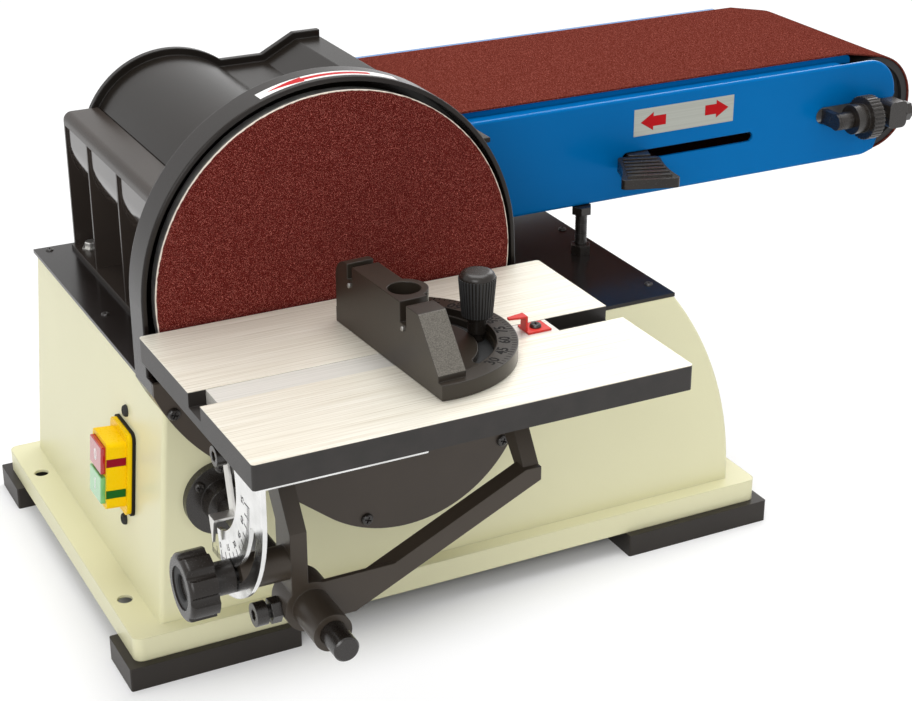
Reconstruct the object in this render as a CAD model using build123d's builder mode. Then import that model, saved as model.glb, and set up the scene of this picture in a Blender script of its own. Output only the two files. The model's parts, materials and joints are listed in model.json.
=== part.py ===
"""Bench-top belt and disc sander, built up from its separate pieces.

Lengths are in millimetres. Inside this file a place is given as X to the right along the belt, Y to the
rear and Z up, counted from the centre of the disc on its sanding face. The finished frame has its origin
on the bench, under the middle of the machine.
"""
import os
from math import acos, asin, atan2, cos, degrees, hypot, radians, sin, sqrt

from build123d import *

os.makedirs("parts", exist_ok=True)

# Clearances
FIT = 0.03                # a part pressed or pushed home on its shaft
RUNNING = 0.06            # radial room of a shaft that turns or slides in its bore
CLEARANCE = 0.3           # room between neighbours that move past each other
SHEET = 2.0               # cabinet sheet

# Base: feet, flange and cabinet
AXIS_HEIGHT = 256.5       # drive axis above the bench
FOOT_HEIGHT = 16.2
FOOT_LENGTH = 115.0
FOOT_DEPTH = 43.4
FOOT_OVERHANG = 5.8       # how far a foot stands outside the flange
FOOT_CORNER = 1.5
SKIRT_HEIGHT = 16.1
BASE_LENGTH = 466.4
BASE_DEPTH = 293.6
BASE_CORNER = 6.0
BASE_LEFT = 137.7         # flange's left edge, left of the drive axis
FLANGE_LEFT = 20.4        # flange strips beside the cabinet
FLANGE_RIGHT = 17.5
FLANGE_FRONT = 11.4
FLANGE_REAR = 7.5
CABINET_HEIGHT = 152.0    # above the flange
CABINET_BEND = 3.0
LEFT_LEAN = 12.5          # the left panel leans in by this much at its top
CURVE_WIDTH = 53.0        # the right end curves in by this much at its top
CURVE_RADIUS = 240.0
TOP_RIM = 18.0            # cabinet's top rim that carries the top plate
TOP_PLATE = 2.5
TOP_PLATE_LIP = 1.8
BENCH_HOLE_RADIUS = 5.0
BENCH_HOLE_EDGE = 10.3    # hole centre in from the flange's edge
BENCH_HOLE_SPACING = 193.0

# Switch on the left panel
SWITCH_Y = 97.0
SWITCH_Z = -145.0
GASKET = 2.0
SWITCH_PLATE_WIDTH = 36.0
SWITCH_PLATE_HEIGHT = 57.0
SWITCH_PLATE = 3.0
SWITCH_BOX_WIDTH = 30.0
SWITCH_BOX_HEIGHT = 46.0
SWITCH_BOX_DEPTH = 12.5
SWITCH_BACK_WIDTH = 26.0
SWITCH_BACK_HEIGHT = 38.0
SWITCH_BACK_DEPTH = 28.0
BUTTON_WIDTH = 23.5
BUTTON_HEIGHT = 18.6
BUTTON_PITCH = 20.8
BUTTON_WELL = 12.0
BUTTON_PROUD = 3.0
BUTTON_TRAVEL = 3.0

# Disc, guard and drive
DISC_RADIUS = 114.0
PAPER = 1.2
PAPER_PROUD = 0.8         # paper edge beyond the metal disc
DISC_PLATE = 9.0
DISC_HUB_RADIUS = 24.0
DISC_HUB = 2.2
SHAFT_RADIUS = 10.0
GUARD_RADIUS = 121.0
GUARD_FRONT = 4.0         # ring's front edge behind the paper's face
GUARD_BACK = 27.5
GUARD_WALL = 3.0
GUARD_ROUND = 1.2
TUB_RADIUS = 131.0        # lower half of the guard, round the disc
TUB_TOP = -42.0
LOBE_X = 39.0             # lobe of the tub round the motor pulley
LOBE_Z = -89.5
LOBE_RADIUS = 85.5
COVER = 2.5
COVER_BACK = 4.5          # cover's rear face in front of the paper's face
MOTOR_X = 47.0
MOTOR_Z = -138.0
MOTOR_RADIUS = 60.0
MOTOR_LENGTH = 150.0
MOTOR_SHAFT_RADIUS = 8.0
MOTOR_FAN_COVER = 26.0
MOTOR_RIBS = 20
MOTOR_RIB = 3.0
MOTOR_BORE = 40.0
PANEL_HOLE_RADIUS = 30.0
DRIVEN_RADIUS = 30.0      # pulley floors under the drive belt
DRIVER_RADIUS = 22.0
PULLEY_GROOVE = 7.2
PULLEY_FLANGE = 1.3
PULLEY_LIP = 3.2
DRIVE_BELT = 2.6

# Shaft bearings and the drum
BLOCK_LENGTH = 66.0
BLOCK_BASE = 7.0
BLOCK_WEB = 44.0
BARREL_RADIUS = 28.0
FRONT_BLOCK = 12.5        # front block's base behind the guard
FRONT_SPIGOT_RADIUS = 27.0
REAR_SPIGOT_RADIUS = 24.0
REAR_BLOCK_BASE = 2.8
REAR_BLOCK_FOOT = 38.0
BEARING_RADIUS = 23.5
BEARING_WIDTH = 14.0
REAR_BEARING_RADIUS = 18.5
REAR_BEARING_WIDTH = 9.0
SHAFT_ROOM = 12.0         # bore round the shaft between its bearings
DRUM_RADIUS = 35.2
DRUM_WALL = 6.0
DRUM_RECESS = 30.0
DRUM_HUB_RADIUS = 18.0    # hub left standing in the end recesses
DRUM_EDGE = 3.0           # drum beyond each edge of the sanding belt

# Drum housing on the left of the drum
HOUSING_GAP = 1.0         # radial room between the hood and the housing
HOUSING_WALL = 3.0
HOUSING_LEFT = 79.0
LEDGE_TOP = 31.0
SHOULDER = 6.0
FIN = 4.0
FIN_PITCH = 61.5
FIN_COUNT = 4
FIN_FIRST = 265.0         # rear face of the first fin before the rear end plate
HOUSING_FLANGE = 3.0
HOUSING_FLANGE_LEFT = 81.0
HOUSING_TURN = 234.0      # where the curved wall ends, degrees

# Belt arm
BELT_WIDTH = 152.0
BELT = 1.2
BELT_FRONT = 129.6
BELT_TOP = 44.6
IDLER_X = 495.0
IDLER_Z = 2.5             # idler axle above the drive axis
ARM_SHEET = 2.5
ARM_MARGIN = 9.4          # from the plate's outer face to the belt's edge
ARM_REAR_MARGIN = 12.4
ARM_REAR_RISE = 3.5       # rear plate stands higher and guides the belt
ARM_TOP = 39.0
ARM_BOTTOM = -34.0
ARM_NOSE = 15.0           # plates' ends beyond the idler axle
ARM_NOSE_ROUND = 26.0
ARM_CHIN = 16.6           # nose's lower corner, set back from its tip
ARM_CHIN_CUT = 11.6
ARM_CHIN_RISE = 4.0
ARM_BEND = 2.2
FLANGE_START = 70.0
FLANGE_END = 459.0
FLANGE_REACH = 10.8
BOTTOM_FLANGE_REACH = 8.8
WEB_START = 90.0
WEB_END = 425.0
WEB_TAB = 14.0
PLATEN = 7.0
PLATEN_START = 78.0
PLATEN_END = 474.0
PLATEN_ROUND = 5.0
PLATEN_GAP = 0.8          # platen's side edges beside the arm's flanges

# Hood over the drum
HOOD_RADIUS = 61.0
HOOD_WALL = 3.0
HOOD_FRONT_GAP = 1.1      # behind the guard
HOOD_REAR = 300.0
HOOD_START = 155.0        # where the hood begins beside the ledge, degrees
SADDLE_Z = 48.0
SADDLE_END = 72.0
RAMP_X = 97.0
RAMP_Z = 61.0
HOOD_END = 116.0
HOOD_RIM = 5.0
HOOD_TAB = 2.5
HOOD_TAB_LEFT = 80.0
HOOD_TAB_RIGHT = 104.0
HOOD_TAB_FOOT = 26.0

# Tension lever, idler carriage and tracking screw
LEVER_X = 326.0
LEVER_Y = 246.0
LEVER_Z = -7.0
LEVER = 6.0
LEVER_WIDTH = 16.0
LEVER_SWING = 19.0        # degrees either side of square
LEVER_HUB_RADIUS = 12.0
LEVER_PIN_RADIUS = 5.0
LEVER_HEAD_RADIUS = 7.0
LEVER_HEAD = 4.0
CAM_RADIUS = 13.0
CAM_PIN_RADIUS = 3.5
PADDLE_LENGTH = 42.0
PADDLE_WIDTH = 38.0
PADDLE_WAIST = 3.0        # how far the paddle's sides curve in
PADDLE = 10.0
PADDLE_RIBS = 6
PADDLE_RIB = 1.6
FORK_PLATE = 4.0
FORK_HEIGHT = 22.0
FORK_LENGTH = 88.0        # behind the idler axle
FORK_NOSE = 11.0
CROSS_BAR = 10.0
CROSS_BAR_HEIGHT = 18.0
PULL_BAR = 6.0
PULL_BAR_WIDTH = 20.0
PULL_BAR_TAIL = 17.0      # past the lever's pivot
AXLE_RADIUS = 5.0
AXLE_BLOCK = 16.0
AXLE_BLOCK_DEPTH = 14.0
AXLE_BLOCK_HEIGHT = 20.0
AXLE_END = 3.0            # axle beyond the arm's rear plate
AXLE_SLOT_START = 438.0
AXLE_SLOT_HEIGHT = 12.6
AXLE_SLOT_ROOM = 2.0      # slot's end beyond the axle
IDLER_WALL = 5.0
IDLER_RECESS = 4.0
IDLER_INSET = 1.0         # idler inside each edge of the sanding belt
TRACKING_RADIUS = 3.0
TRACKING_SLEEVE_RADIUS = 6.0
TRACKING_SLEEVE = 14.0
TRACKING_TAIL = 9.0
TRACKING_NUT_RADIUS = 16.2
TRACKING_NUT_X = 24.0     # nut's middle left of the idler axle
TRACKING_NUT = 9.4
TRACKING_NUT_GAP = 0.8    # between the nut and the arm's plate
TRACKING_KNURLS = 32
TRACKING_COLLAR = 10.0
TRACKING_COLLAR_RADIUS = 11.0
TRACKING_HEX = 7.5
TRACKING_HEX_LENGTH = 6.0
TRACKING_LUG = 5.0
TRACKING_LUG_HEIGHT = 15.2
STOP_BOLT_EDGE = 19.2     # stop bolt in from the top plate's right edge
STOP_BOLT_RADIUS = 4.0
STOP_BOLT_HEAD = 5.5
STOP_BOLT_HEX = 7.5
STOP_BOLT_TAIL = 7.0
STOP_NUT = 6.5

# Table, its bracket and the quadrant
TABLE_LEFT = 126.0
TABLE_WIDTH = 260.0
TABLE_GAP = 2.4           # between the table and the paper
TABLE_DEPTH = 175.0
TABLE_TOP = -12.5
TABLE = 15.0
TABLE_RIB = 8.0
TABLE_RIB_WIDTH = 6.0
TABLE_EDGE = 20.0         # ribs in from the table's edge
SLOT_Y = -93.8            # middle of the mitre slot
SLOT_WIDTH = 18.9
SLOT_DEPTH = 9.0
PIVOT_Y = -82.0           # tilt axis
PIVOT_Z = -55.0
PIVOT_RADIUS = 4.0
PIVOT_HEAD_RADIUS = 6.0
PIVOT_HEAD = 6.0
PIVOT_SOCKET_RADIUS = 3.2
PIVOT_SOCKET = 4.0
LUG = 10.0
LUG_RADIUS = 12.0
BRACKET_LEFT = 84.4
BRACKET_SPAN = 157.4
BRACKET_ARM = 10.0
BRACKET_DEPTH = 21.0
BRACKET_RIB = 12.0        # depth of the slanted bar and the right arm
BRACKET_PLATE = 3.0       # thickness of the plate in front of the bar
BRACKET_FRONT = -118.0
BRACKET_BEND_Z = -94.0
BRACKET_EYE_RADIUS = 10.5
BRACKET_BOSS_RADIUS = 9.0
BRACKET_BAR = 24.5        # height of the lower bar at the rod
BRACKET_TOP_Z = -128.5
BRACKET_KNEE_X = -21.5
BRACKET_CORNER_Z = -89.0
BRACKET_CORNER = 8.5
ROD_X = -73.0
ROD_Z = -142.5
ROD_RADIUS = 7.5
ROD_FRONT = -167.0
ROD_BOSS_RADIUS = 15.6
ROD_NECK_RADIUS = 11.4
ROD_BOSS_FRONT = -148.0
ROD_FLANGE_RADIUS = 24.0
ROD_FLANGE = 6.0
ROD_SOCKET_RADIUS = 14.0
ROD_SOCKET = 12.0
CLAMP_Y = -107.5
CLAMP_Z = -145.0
CLAMP_RADIUS = 4.0
CLAMP_LENGTH = 16.0
CLAMP_HEAD = 7.0
CLAMP_HEAD_RADIUS = 7.0
CLAMP_SOCKET_RADIUS = 3.5
CLAMP_SOCKET = 4.0
CLAMP_NUT = 6.0
CLAMP_HEX = 7.5
QUADRANT = 2.5
QUADRANT_RADIUS = 79.0
QUADRANT_INNER = 41.0
QUADRANT_FRONT = -161.0
QUADRANT_END = 80.0       # degrees below the front
QUADRANT_FLANGE = 95.0
QUADRANT_FLANGE_WIDTH = 20.0
TILT_SLOT_RADIUS = 66.0
TILT_SLOT_WIDTH = 9.0
STUD_ANGLE = 66.0         # degrees below the front
TILT_RANGE = 45.0
TILT_SLOT_MARGIN = 6.0
STUD_RADIUS = 4.0
STUD_BOSS = 28.5
STUD_BOSS_RADIUS = 10.0
KNOB_RADIUS = 19.5
KNOB_LENGTH = 16.5
KNOB_FLUTES = 8
KNOB_FLUTE_RADIUS = 4.0
KNOB_ROUND = 3.0
KNOB_DISH_RADIUS = 12.5
KNOB_DISH = 3.0
KNOB_COLLAR = 13.0
KNOB_COLLAR_RADIUS = 9.5
POINTER = 1.5
POINTER_WIDTH = 8.0
POINTER_DROP = 35.0
POINTER_LEAN = 14.0       # degrees to the front
POINTER_STEP = 3.5
POINTER_TIP = 14.0

# Mitre gauge
MITRE_BAR_LEFT = -116.0
MITRE_BAR_RIGHT = 92.0
MITRE_X = -2.0            # swivel axis
MITRE_REST = 3.0          # degrees that the head is turned from square
MITRE_RADIUS = 63.0
MITRE_PLATE = 9.0
MITRE_DISH_RADIUS = 51.0
MITRE_DISH = 4.5
FENCE_THICK = 16.8
FENCE_FACE = 11.3         # fence's face left of the swivel axis
FENCE_REAR = 61.5         # fence's rear end behind the swivel axis
FENCE_FRONT = 57.7        # fence's front end before the swivel axis
FENCE_HEIGHT = 40.2
REAR_GROOVE = 40.8        # groove's front side behind the swivel axis
REAR_GROOVE_WIDTH = 6.0
REAR_GROOVE_DEPTH = 9.0
FRONT_GROOVE = 22.7       # groove's front side before the swivel axis
FRONT_GROOVE_WIDTH = 7.0
FRONT_GROOVE_DEPTH = 12.0
FENCE_RAMP = 36.2         # where the ramp begins before the swivel axis
FENCE_TOE = 12.5
FENCE_ROUND = 12.0
FENCE_BOSS_RADIUS = 13.5
FENCE_BOSS_HOLE = 9.3
FENCE_BOSS_DEPTH = 26.0
SWIVEL_PIN_RADIUS = 4.0
MITRE_SLOT_RADIUS = 45.2
MITRE_SLOT_WIDTH = 9.0
MITRE_SWIVEL = 45.0
MITRE_SLOT_MARGIN = 7.0
MITRE_STUD_RADIUS = 4.0
MITRE_KNOB_RADIUS = 10.6
MITRE_KNOB_FOOT = 8.5
MITRE_KNOB = 27.0
MITRE_COLLAR = 10.4
MITRE_COLLAR_RADIUS = 5.4
MITRE_KNOB_DOME = 4.0
RED_POINTER = 1.2
RED_POINTER_WIDTH = 13.0
RED_POINTER_FOOT = 15.0
RED_POINTER_INSET = 4.0   # from the bar's right end
RED_POINTER_RISE = 10.0
RED_POINTER_TIP = 10.0

# Places worked out from the sizes above
foot_top = FOOT_HEIGHT - AXIS_HEIGHT
flange_top = foot_top + SKIRT_HEIGHT
plate_bottom = flange_top + CABINET_HEIGHT
plate_top = plate_bottom + TOP_PLATE
base_front = GUARD_BACK - FLANGE_FRONT
base_rear = base_front + BASE_DEPTH
base_right = BASE_LENGTH - BASE_LEFT
base_mid_x = base_right - BASE_LENGTH / 2
base_mid_y = base_front + BASE_DEPTH / 2
cabinet_left = FLANGE_LEFT - BASE_LEFT
cabinet_right = base_right - FLANGE_RIGHT
cabinet_front = GUARD_BACK
cabinet_rear = base_rear - FLANGE_REAR
cabinet_depth = cabinet_rear - cabinet_front
plate_left = cabinet_left + LEFT_LEAN - TOP_PLATE_LIP
plate_right = cabinet_right - CURVE_WIDTH
plate_rear = cabinet_rear + TOP_PLATE_LIP
stop_x = plate_right - STOP_BOLT_EDGE
roller_path = DRUM_RADIUS + CLEARANCE
belt_outside = roller_path + BELT
belt_rear = BELT_FRONT + BELT_WIDTH
arm_front = BELT_FRONT - ARM_MARGIN
arm_rear = belt_rear + ARM_REAR_MARGIN
arm_inner_front = arm_front + ARM_SHEET
stop_y = arm_front + ARM_SHEET / 2
arm_inner_rear = arm_rear - ARM_SHEET
platen_top = BELT_TOP - BELT - CLEARANCE
web_top = platen_top - PLATEN
drum_front = BELT_FRONT - DRUM_EDGE
drum_rear = belt_rear + DRUM_EDGE
drum_length = drum_rear - drum_front
table_bottom = TABLE_TOP - TABLE
rib_bottom = table_bottom - TABLE_RIB
table_front = -TABLE_GAP - TABLE_DEPTH
quadrant_right = -BRACKET_LEFT - STUD_BOSS - CLEARANCE
quadrant_left = quadrant_right - QUADRANT
knob_right = quadrant_left - CLEARANCE - KNOB_COLLAR
knob_left = knob_right - KNOB_LENGTH
left_end = min(knob_left, -BASE_LEFT - FOOT_OVERHANG)
idler_centre = (IDLER_X, IDLER_Z)
right_end = IDLER_X + belt_outside
rear_end = base_rear + FOOT_OVERHANG
axis_x = -(left_end + right_end) / 2
face_y = -(table_front + rear_end) / 2


def front_plane(y):
    """Upright plane y behind the disc's face; its own axes are X and Z, and it faces the front."""
    return Plane(origin=(axis_x, face_y + y, AXIS_HEIGHT), x_dir=(1, 0, 0), z_dir=(0, -1, 0))


def side_plane(x):
    """Upright plane x right of the drive axis; its own axes are Y and Z, and it faces right."""
    return Plane(origin=(axis_x + x, face_y, AXIS_HEIGHT), x_dir=(0, 1, 0), z_dir=(1, 0, 0))


def level_plane(z):
    """Level plane z above the drive axis; its own axes are X and Y, and it faces up."""
    return Plane(origin=(axis_x, face_y, AXIS_HEIGHT + z), x_dir=(1, 0, 0), z_dir=(0, 0, 1))


def panel_plane(out):
    """Plane on the leaning left panel at the switch, moved outwards; its axes are forwards and up."""
    share = (SWITCH_Z - flange_top) / CABINET_HEIGHT
    lean = atan2(LEFT_LEAN, CABINET_HEIGHT)
    normal = Vector(-cos(lean), 0, sin(lean))
    start = Vector(axis_x + cabinet_left + LEFT_LEAN * share, face_y + SWITCH_Y, AXIS_HEIGHT + SWITCH_Z)
    return Plane(origin=start + normal * out, x_dir=(0, -1, 0), z_dir=normal)


def polar(centre, radius, angle):
    """Point at an angle in degrees on a circle."""
    return centre[0] + radius * cos(radians(angle)), centre[1] + radius * sin(radians(angle))


def tangent_angle(first, first_radius, second, second_radius, side):
    """Angle of the radii that meet the line touching two circles on one side."""
    run_x = second[0] - first[0]
    run_z = second[1] - first[1]
    opening = acos((first_radius - second_radius) / hypot(run_x, run_z))
    return degrees(atan2(run_z, run_x) + side * opening)


def belt_outline(rollers):
    """Flat outline of a belt's path round rollers (x, z, radius), named anticlockwise."""
    count = len(rollers)
    leaving = []
    for index, (x, z, radius) in enumerate(rollers):
        after_x, after_z, after_radius = rollers[(index + 1) % count]
        leaving.append(tangent_angle((x, z), radius, (after_x, after_z), after_radius, -1))
    with BuildSketch() as outline:
        with BuildLine():
            for index, (x, z, radius) in enumerate(rollers):
                start = leaving[index - 1] % 360
                finish = leaving[index] % 360
                finish += 360 if finish < start else 0
                after_x, after_z, after_radius = rollers[(index + 1) % count]
                ThreePointArc(
                    polar((x, z), radius, start),
                    polar((x, z), radius, (start + finish) / 2),
                    polar((x, z), radius, finish),
                )
                Line(polar((x, z), radius, finish), polar((after_x, after_z), after_radius, finish))
        make_face()
    return outline.sketch


def guard_outline(inset):
    """Egg-shaped outline of the disc guard: ring above, wider tub below, lobe for the motor pulley."""
    ring = GUARD_RADIUS - inset
    tub = TUB_RADIUS - inset
    lobe = LOBE_RADIUS - inset
    lobe_centre = (LOBE_X, LOBE_Z)
    right = tangent_angle((0, 0), ring, lobe_centre, lobe, 1)
    left = tangent_angle((0, 0), tub, lobe_centre, lobe, -1) + 360
    knee = 180 + degrees(acos(ring / tub))
    with BuildSketch() as outline:
        with BuildLine():
            ThreePointArc(polar((0, 0), ring, right), polar((0, 0), ring, (right + 180) / 2), (-ring, 0))
            Line((-ring, 0), polar((0, 0), tub, knee))
            ThreePointArc(
                polar((0, 0), tub, knee),
                polar((0, 0), tub, (knee + left) / 2),
                polar((0, 0), tub, left),
            )
            Line(polar((0, 0), tub, left), polar(lobe_centre, lobe, left))
            ThreePointArc(
                polar(lobe_centre, lobe, left),
                polar(lobe_centre, lobe, (left + right + 360) / 2),
                polar(lobe_centre, lobe, right),
            )
            Line(polar(lobe_centre, lobe, right), polar((0, 0), ring, right))
        make_face()
    return outline.sketch


def below_tub_top():
    """Rectangle that covers everything below the tub's top edge."""
    reach = 2 * (TUB_RADIUS + LOBE_RADIUS)
    with BuildSketch() as region:
        with Locations((0, TUB_TOP)):
            Rectangle(2 * reach, reach, align=(Align.CENTER, Align.MAX))
    return region.sketch


def cabinet_outline(inset):
    """Front view of the cabinet's body: leaning left side, flat top, curved right end."""
    bottom = flange_top - SHEET - inset
    top = plate_bottom - inset
    left_low = (cabinet_left + inset, bottom)
    left_high = (cabinet_left + LEFT_LEAN + inset, top)
    right_low = (cabinet_right - inset, bottom)
    right_high = (cabinet_right - CURVE_WIDTH - inset, top)
    chord = hypot(right_low[0] - right_high[0], top - bottom)
    bulge = CURVE_RADIUS - sqrt(CURVE_RADIUS ** 2 - (chord / 2) ** 2)
    middle_x = (right_low[0] + right_high[0]) / 2 + bulge * (top - bottom) / chord
    middle_z = (top + bottom) / 2 + bulge * (right_low[0] - right_high[0]) / chord
    with BuildSketch() as outline:
        with BuildLine():
            Polyline(right_low, left_low, left_high, right_high)
            ThreePointArc(right_high, (middle_x, middle_z), right_low)
        make_face()
    return outline.sketch


# Cabinet: folded sheet, open below, with its bench flange and skirt
with BuildPart() as cabinet:
    with BuildSketch(level_plane(flange_top)):
        with Locations((base_mid_x, base_mid_y)):
            RectangleRounded(BASE_LENGTH, BASE_DEPTH, BASE_CORNER)
    extrude(amount=-SKIRT_HEIGHT)
    with BuildSketch(level_plane(flange_top - SHEET)):
        with Locations((base_mid_x, base_mid_y)):
            RectangleRounded(BASE_LENGTH - 2 * SHEET, BASE_DEPTH - 2 * SHEET, BASE_CORNER - SHEET)
    extrude(amount=SHEET - SKIRT_HEIGHT, mode=Mode.SUBTRACT)
    with BuildSketch(front_plane(cabinet_rear)):
        add(cabinet_outline(0))
    extrude(amount=cabinet_depth)
    panel_faces = cabinet.faces().filter_by(Axis.Y).sort_by(SortBy.AREA)[-2:]
    tall_edges = panel_faces.edges().filter_by(lambda edge: edge.bounding_box().size.Z > CABINET_HEIGHT / 2)
    fillet(tall_edges, radius=CABINET_BEND)
    with BuildSketch(front_plane(cabinet_rear - SHEET)):
        add(cabinet_outline(SHEET))
    extrude(amount=cabinet_depth - 2 * SHEET, mode=Mode.SUBTRACT)
    rim_left = cabinet_left + LEFT_LEAN + TOP_RIM
    rim_right = cabinet_right - CURVE_WIDTH - TOP_RIM
    with BuildSketch(level_plane(plate_bottom)):
        with Locations(((rim_left + rim_right) / 2, (cabinet_front + cabinet_rear) / 2)):
            Rectangle(rim_right - rim_left, cabinet_depth - 2 * TOP_RIM)
        with Locations((stop_x, stop_y)):
            Circle(STOP_BOLT_RADIUS + CLEARANCE)
    extrude(amount=-2 * SHEET, mode=Mode.SUBTRACT)
    with BuildSketch(front_plane(cabinet_front + 2 * SHEET)):
        with Locations((MOTOR_X, MOTOR_Z)):
            Circle(PANEL_HOLE_RADIUS)
    extrude(amount=3 * SHEET, mode=Mode.SUBTRACT)
    with BuildSketch(panel_plane(-2 * SHEET)):
        Rectangle(SWITCH_BACK_WIDTH + 2 * CLEARANCE, SWITCH_BACK_HEIGHT + 2 * CLEARANCE)
    extrude(amount=3 * SHEET, mode=Mode.SUBTRACT)
    with BuildSketch(level_plane(flange_top)):
        with Locations((base_mid_x, base_mid_y)):
            with GridLocations(BASE_LENGTH - 2 * BENCH_HOLE_EDGE, BENCH_HOLE_SPACING, 2, 2):
                Circle(BENCH_HOLE_RADIUS)
    extrude(amount=-2 * SHEET, mode=Mode.SUBTRACT)
cabinet.part.label = "cabinet"
export_step(cabinet.part, "parts/cabinet.step")

# Top plate: flat black sheet on the cabinet's rim
with BuildPart() as top_plate:
    with BuildSketch(level_plane(plate_bottom)):
        with Locations((plate_left, cabinet_front + CLEARANCE)):
            Rectangle(
                plate_right - plate_left,
                plate_rear - cabinet_front - CLEARANCE,
                align=(Align.MIN, Align.MIN),
            )
        with Locations((stop_x, stop_y)):
            Circle(STOP_BOLT_RADIUS + RUNNING, mode=Mode.SUBTRACT)
    extrude(amount=TOP_PLATE)
top_plate.part.label = "top_plate"
export_step(top_plate.part, "parts/top_plate.step")

# Feet: rubber corner blocks whose upper step sits inside the skirt, under the flange
foot_corners = {
    "foot_front_left": (-1, -1),
    "foot_front_right": (1, -1),
    "foot_rear_left": (-1, 1),
    "foot_rear_right": (1, 1),
}
for foot_name, (side_x, side_y) in foot_corners.items():
    corner_x = base_mid_x + side_x * (BASE_LENGTH / 2 + FOOT_OVERHANG)
    corner_y = base_mid_y + side_y * (BASE_DEPTH / 2 + FOOT_OVERHANG)
    step = FOOT_OVERHANG + SHEET + CLEARANCE
    inward = (Align.MIN if side_x < 0 else Align.MAX, Align.MIN if side_y < 0 else Align.MAX)
    with BuildPart() as foot:
        with BuildSketch(level_plane(-AXIS_HEIGHT)):
            with Locations((corner_x, corner_y)):
                Rectangle(FOOT_LENGTH, FOOT_DEPTH, align=inward)
        extrude(amount=FOOT_HEIGHT)
        fillet(foot.edges().filter_by(Axis.Z), radius=FOOT_CORNER)
        with BuildSketch(level_plane(foot_top)):
            with Locations((corner_x - side_x * step, corner_y - side_y * step)):
                RectangleRounded(
                    FOOT_LENGTH - step - FOOT_CORNER,
                    FOOT_DEPTH - step - FOOT_CORNER,
                    BASE_CORNER - SHEET,
                    align=inward,
                )
        extrude(amount=SKIRT_HEIGHT - SHEET)
    foot.part.label = foot_name
    export_step(foot.part, f"parts/{foot_name}.step")

# Switch: gasket on the panel, body with two wells, and the two buttons
with BuildPart() as switch_gasket:
    with BuildSketch(panel_plane(0)):
        RectangleRounded(SWITCH_PLATE_WIDTH + GASKET, SWITCH_PLATE_HEIGHT + GASKET, SWITCH_PLATE + GASKET)
        Rectangle(
            SWITCH_BACK_WIDTH + 2 * CLEARANCE,
            SWITCH_BACK_HEIGHT + 2 * CLEARANCE,
            mode=Mode.SUBTRACT,
        )
    extrude(amount=GASKET)
switch_gasket.part.label = "switch_gasket"
export_step(switch_gasket.part, "parts/switch_gasket.step")

switch_face = GASKET + SWITCH_PLATE + SWITCH_BOX_DEPTH
with BuildPart() as switch_body:
    with BuildSketch(panel_plane(GASKET)):
        RectangleRounded(SWITCH_PLATE_WIDTH, SWITCH_PLATE_HEIGHT, SWITCH_PLATE + GASKET)
    extrude(amount=SWITCH_PLATE)
    with BuildSketch(panel_plane(GASKET + SWITCH_PLATE)):
        RectangleRounded(SWITCH_BOX_WIDTH, SWITCH_BOX_HEIGHT, SWITCH_PLATE)
    extrude(amount=SWITCH_BOX_DEPTH)
    with BuildSketch(panel_plane(GASKET)):
        Rectangle(SWITCH_BACK_WIDTH, SWITCH_BACK_HEIGHT)
    extrude(amount=-SWITCH_BACK_DEPTH)
    with BuildSketch(panel_plane(switch_face)):
        with GridLocations(0, BUTTON_PITCH, 1, 2):
            Rectangle(BUTTON_WIDTH + 2 * CLEARANCE, BUTTON_HEIGHT + 2 * CLEARANCE)
    extrude(amount=-BUTTON_WELL, mode=Mode.SUBTRACT)
switch_body.part.label = "switch_body"
export_step(switch_body.part, "parts/switch_body.step")

button_foot = switch_face - BUTTON_WELL + BUTTON_TRAVEL + CLEARANCE
button_rows = {"stop_button": BUTTON_PITCH / 2, "start_button": -BUTTON_PITCH / 2}
for button_name, button_rise in button_rows.items():
    with BuildPart() as button:
        with BuildSketch(panel_plane(button_foot)):
            with Locations((0, button_rise)):
                RectangleRounded(BUTTON_WIDTH, BUTTON_HEIGHT, SWITCH_PLATE - GASKET)
        extrude(amount=switch_face + BUTTON_PROUD - button_foot)
        fillet(button.faces().sort_by(Axis.X)[0].edges(), radius=BUTTON_PROUD / 4)
    button.part.label = button_name
    export_step(button.part, f"parts/{button_name}.step")

# Disc guard: back wall, ring round the disc, and the deeper tub below the table
with BuildPart() as disc_guard:
    with BuildSketch(front_plane(GUARD_BACK)):
        add(guard_outline(0))
    extrude(amount=GUARD_BACK - GUARD_FRONT)
    with BuildSketch(front_plane(GUARD_FRONT)):
        add(guard_outline(0))
        add(below_tub_top(), mode=Mode.INTERSECT)
    extrude(amount=GUARD_FRONT + COVER_BACK)
    with BuildSketch(front_plane(GUARD_BACK - GUARD_WALL)):
        add(guard_outline(GUARD_WALL))
    extrude(amount=GUARD_BACK + COVER_BACK, mode=Mode.SUBTRACT)
    ring_edges = disc_guard.edges().filter_by(GeomType.CIRCLE)
    fillet(ring_edges.filter_by(lambda edge: abs(edge.radius - GUARD_RADIUS) < FIT), radius=GUARD_ROUND)
    with BuildSketch(front_plane(GUARD_BACK)):
        Circle(DISC_HUB_RADIUS)
        with Locations((MOTOR_X, MOTOR_Z)):
            Circle(PANEL_HOLE_RADIUS)
    extrude(amount=GUARD_WALL, mode=Mode.SUBTRACT)
disc_guard.part.label = "disc_guard"
export_step(disc_guard.part, "parts/disc_guard.step")

# Lower cover: flat plate on the front of the tub
with BuildPart() as lower_cover:
    with BuildSketch(front_plane(-COVER_BACK)):
        add(guard_outline(0))
        add(below_tub_top(), mode=Mode.INTERSECT)
    extrude(amount=COVER)
lower_cover.part.label = "lower_cover"
export_step(lower_cover.part, "parts/lower_cover.step")

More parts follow.
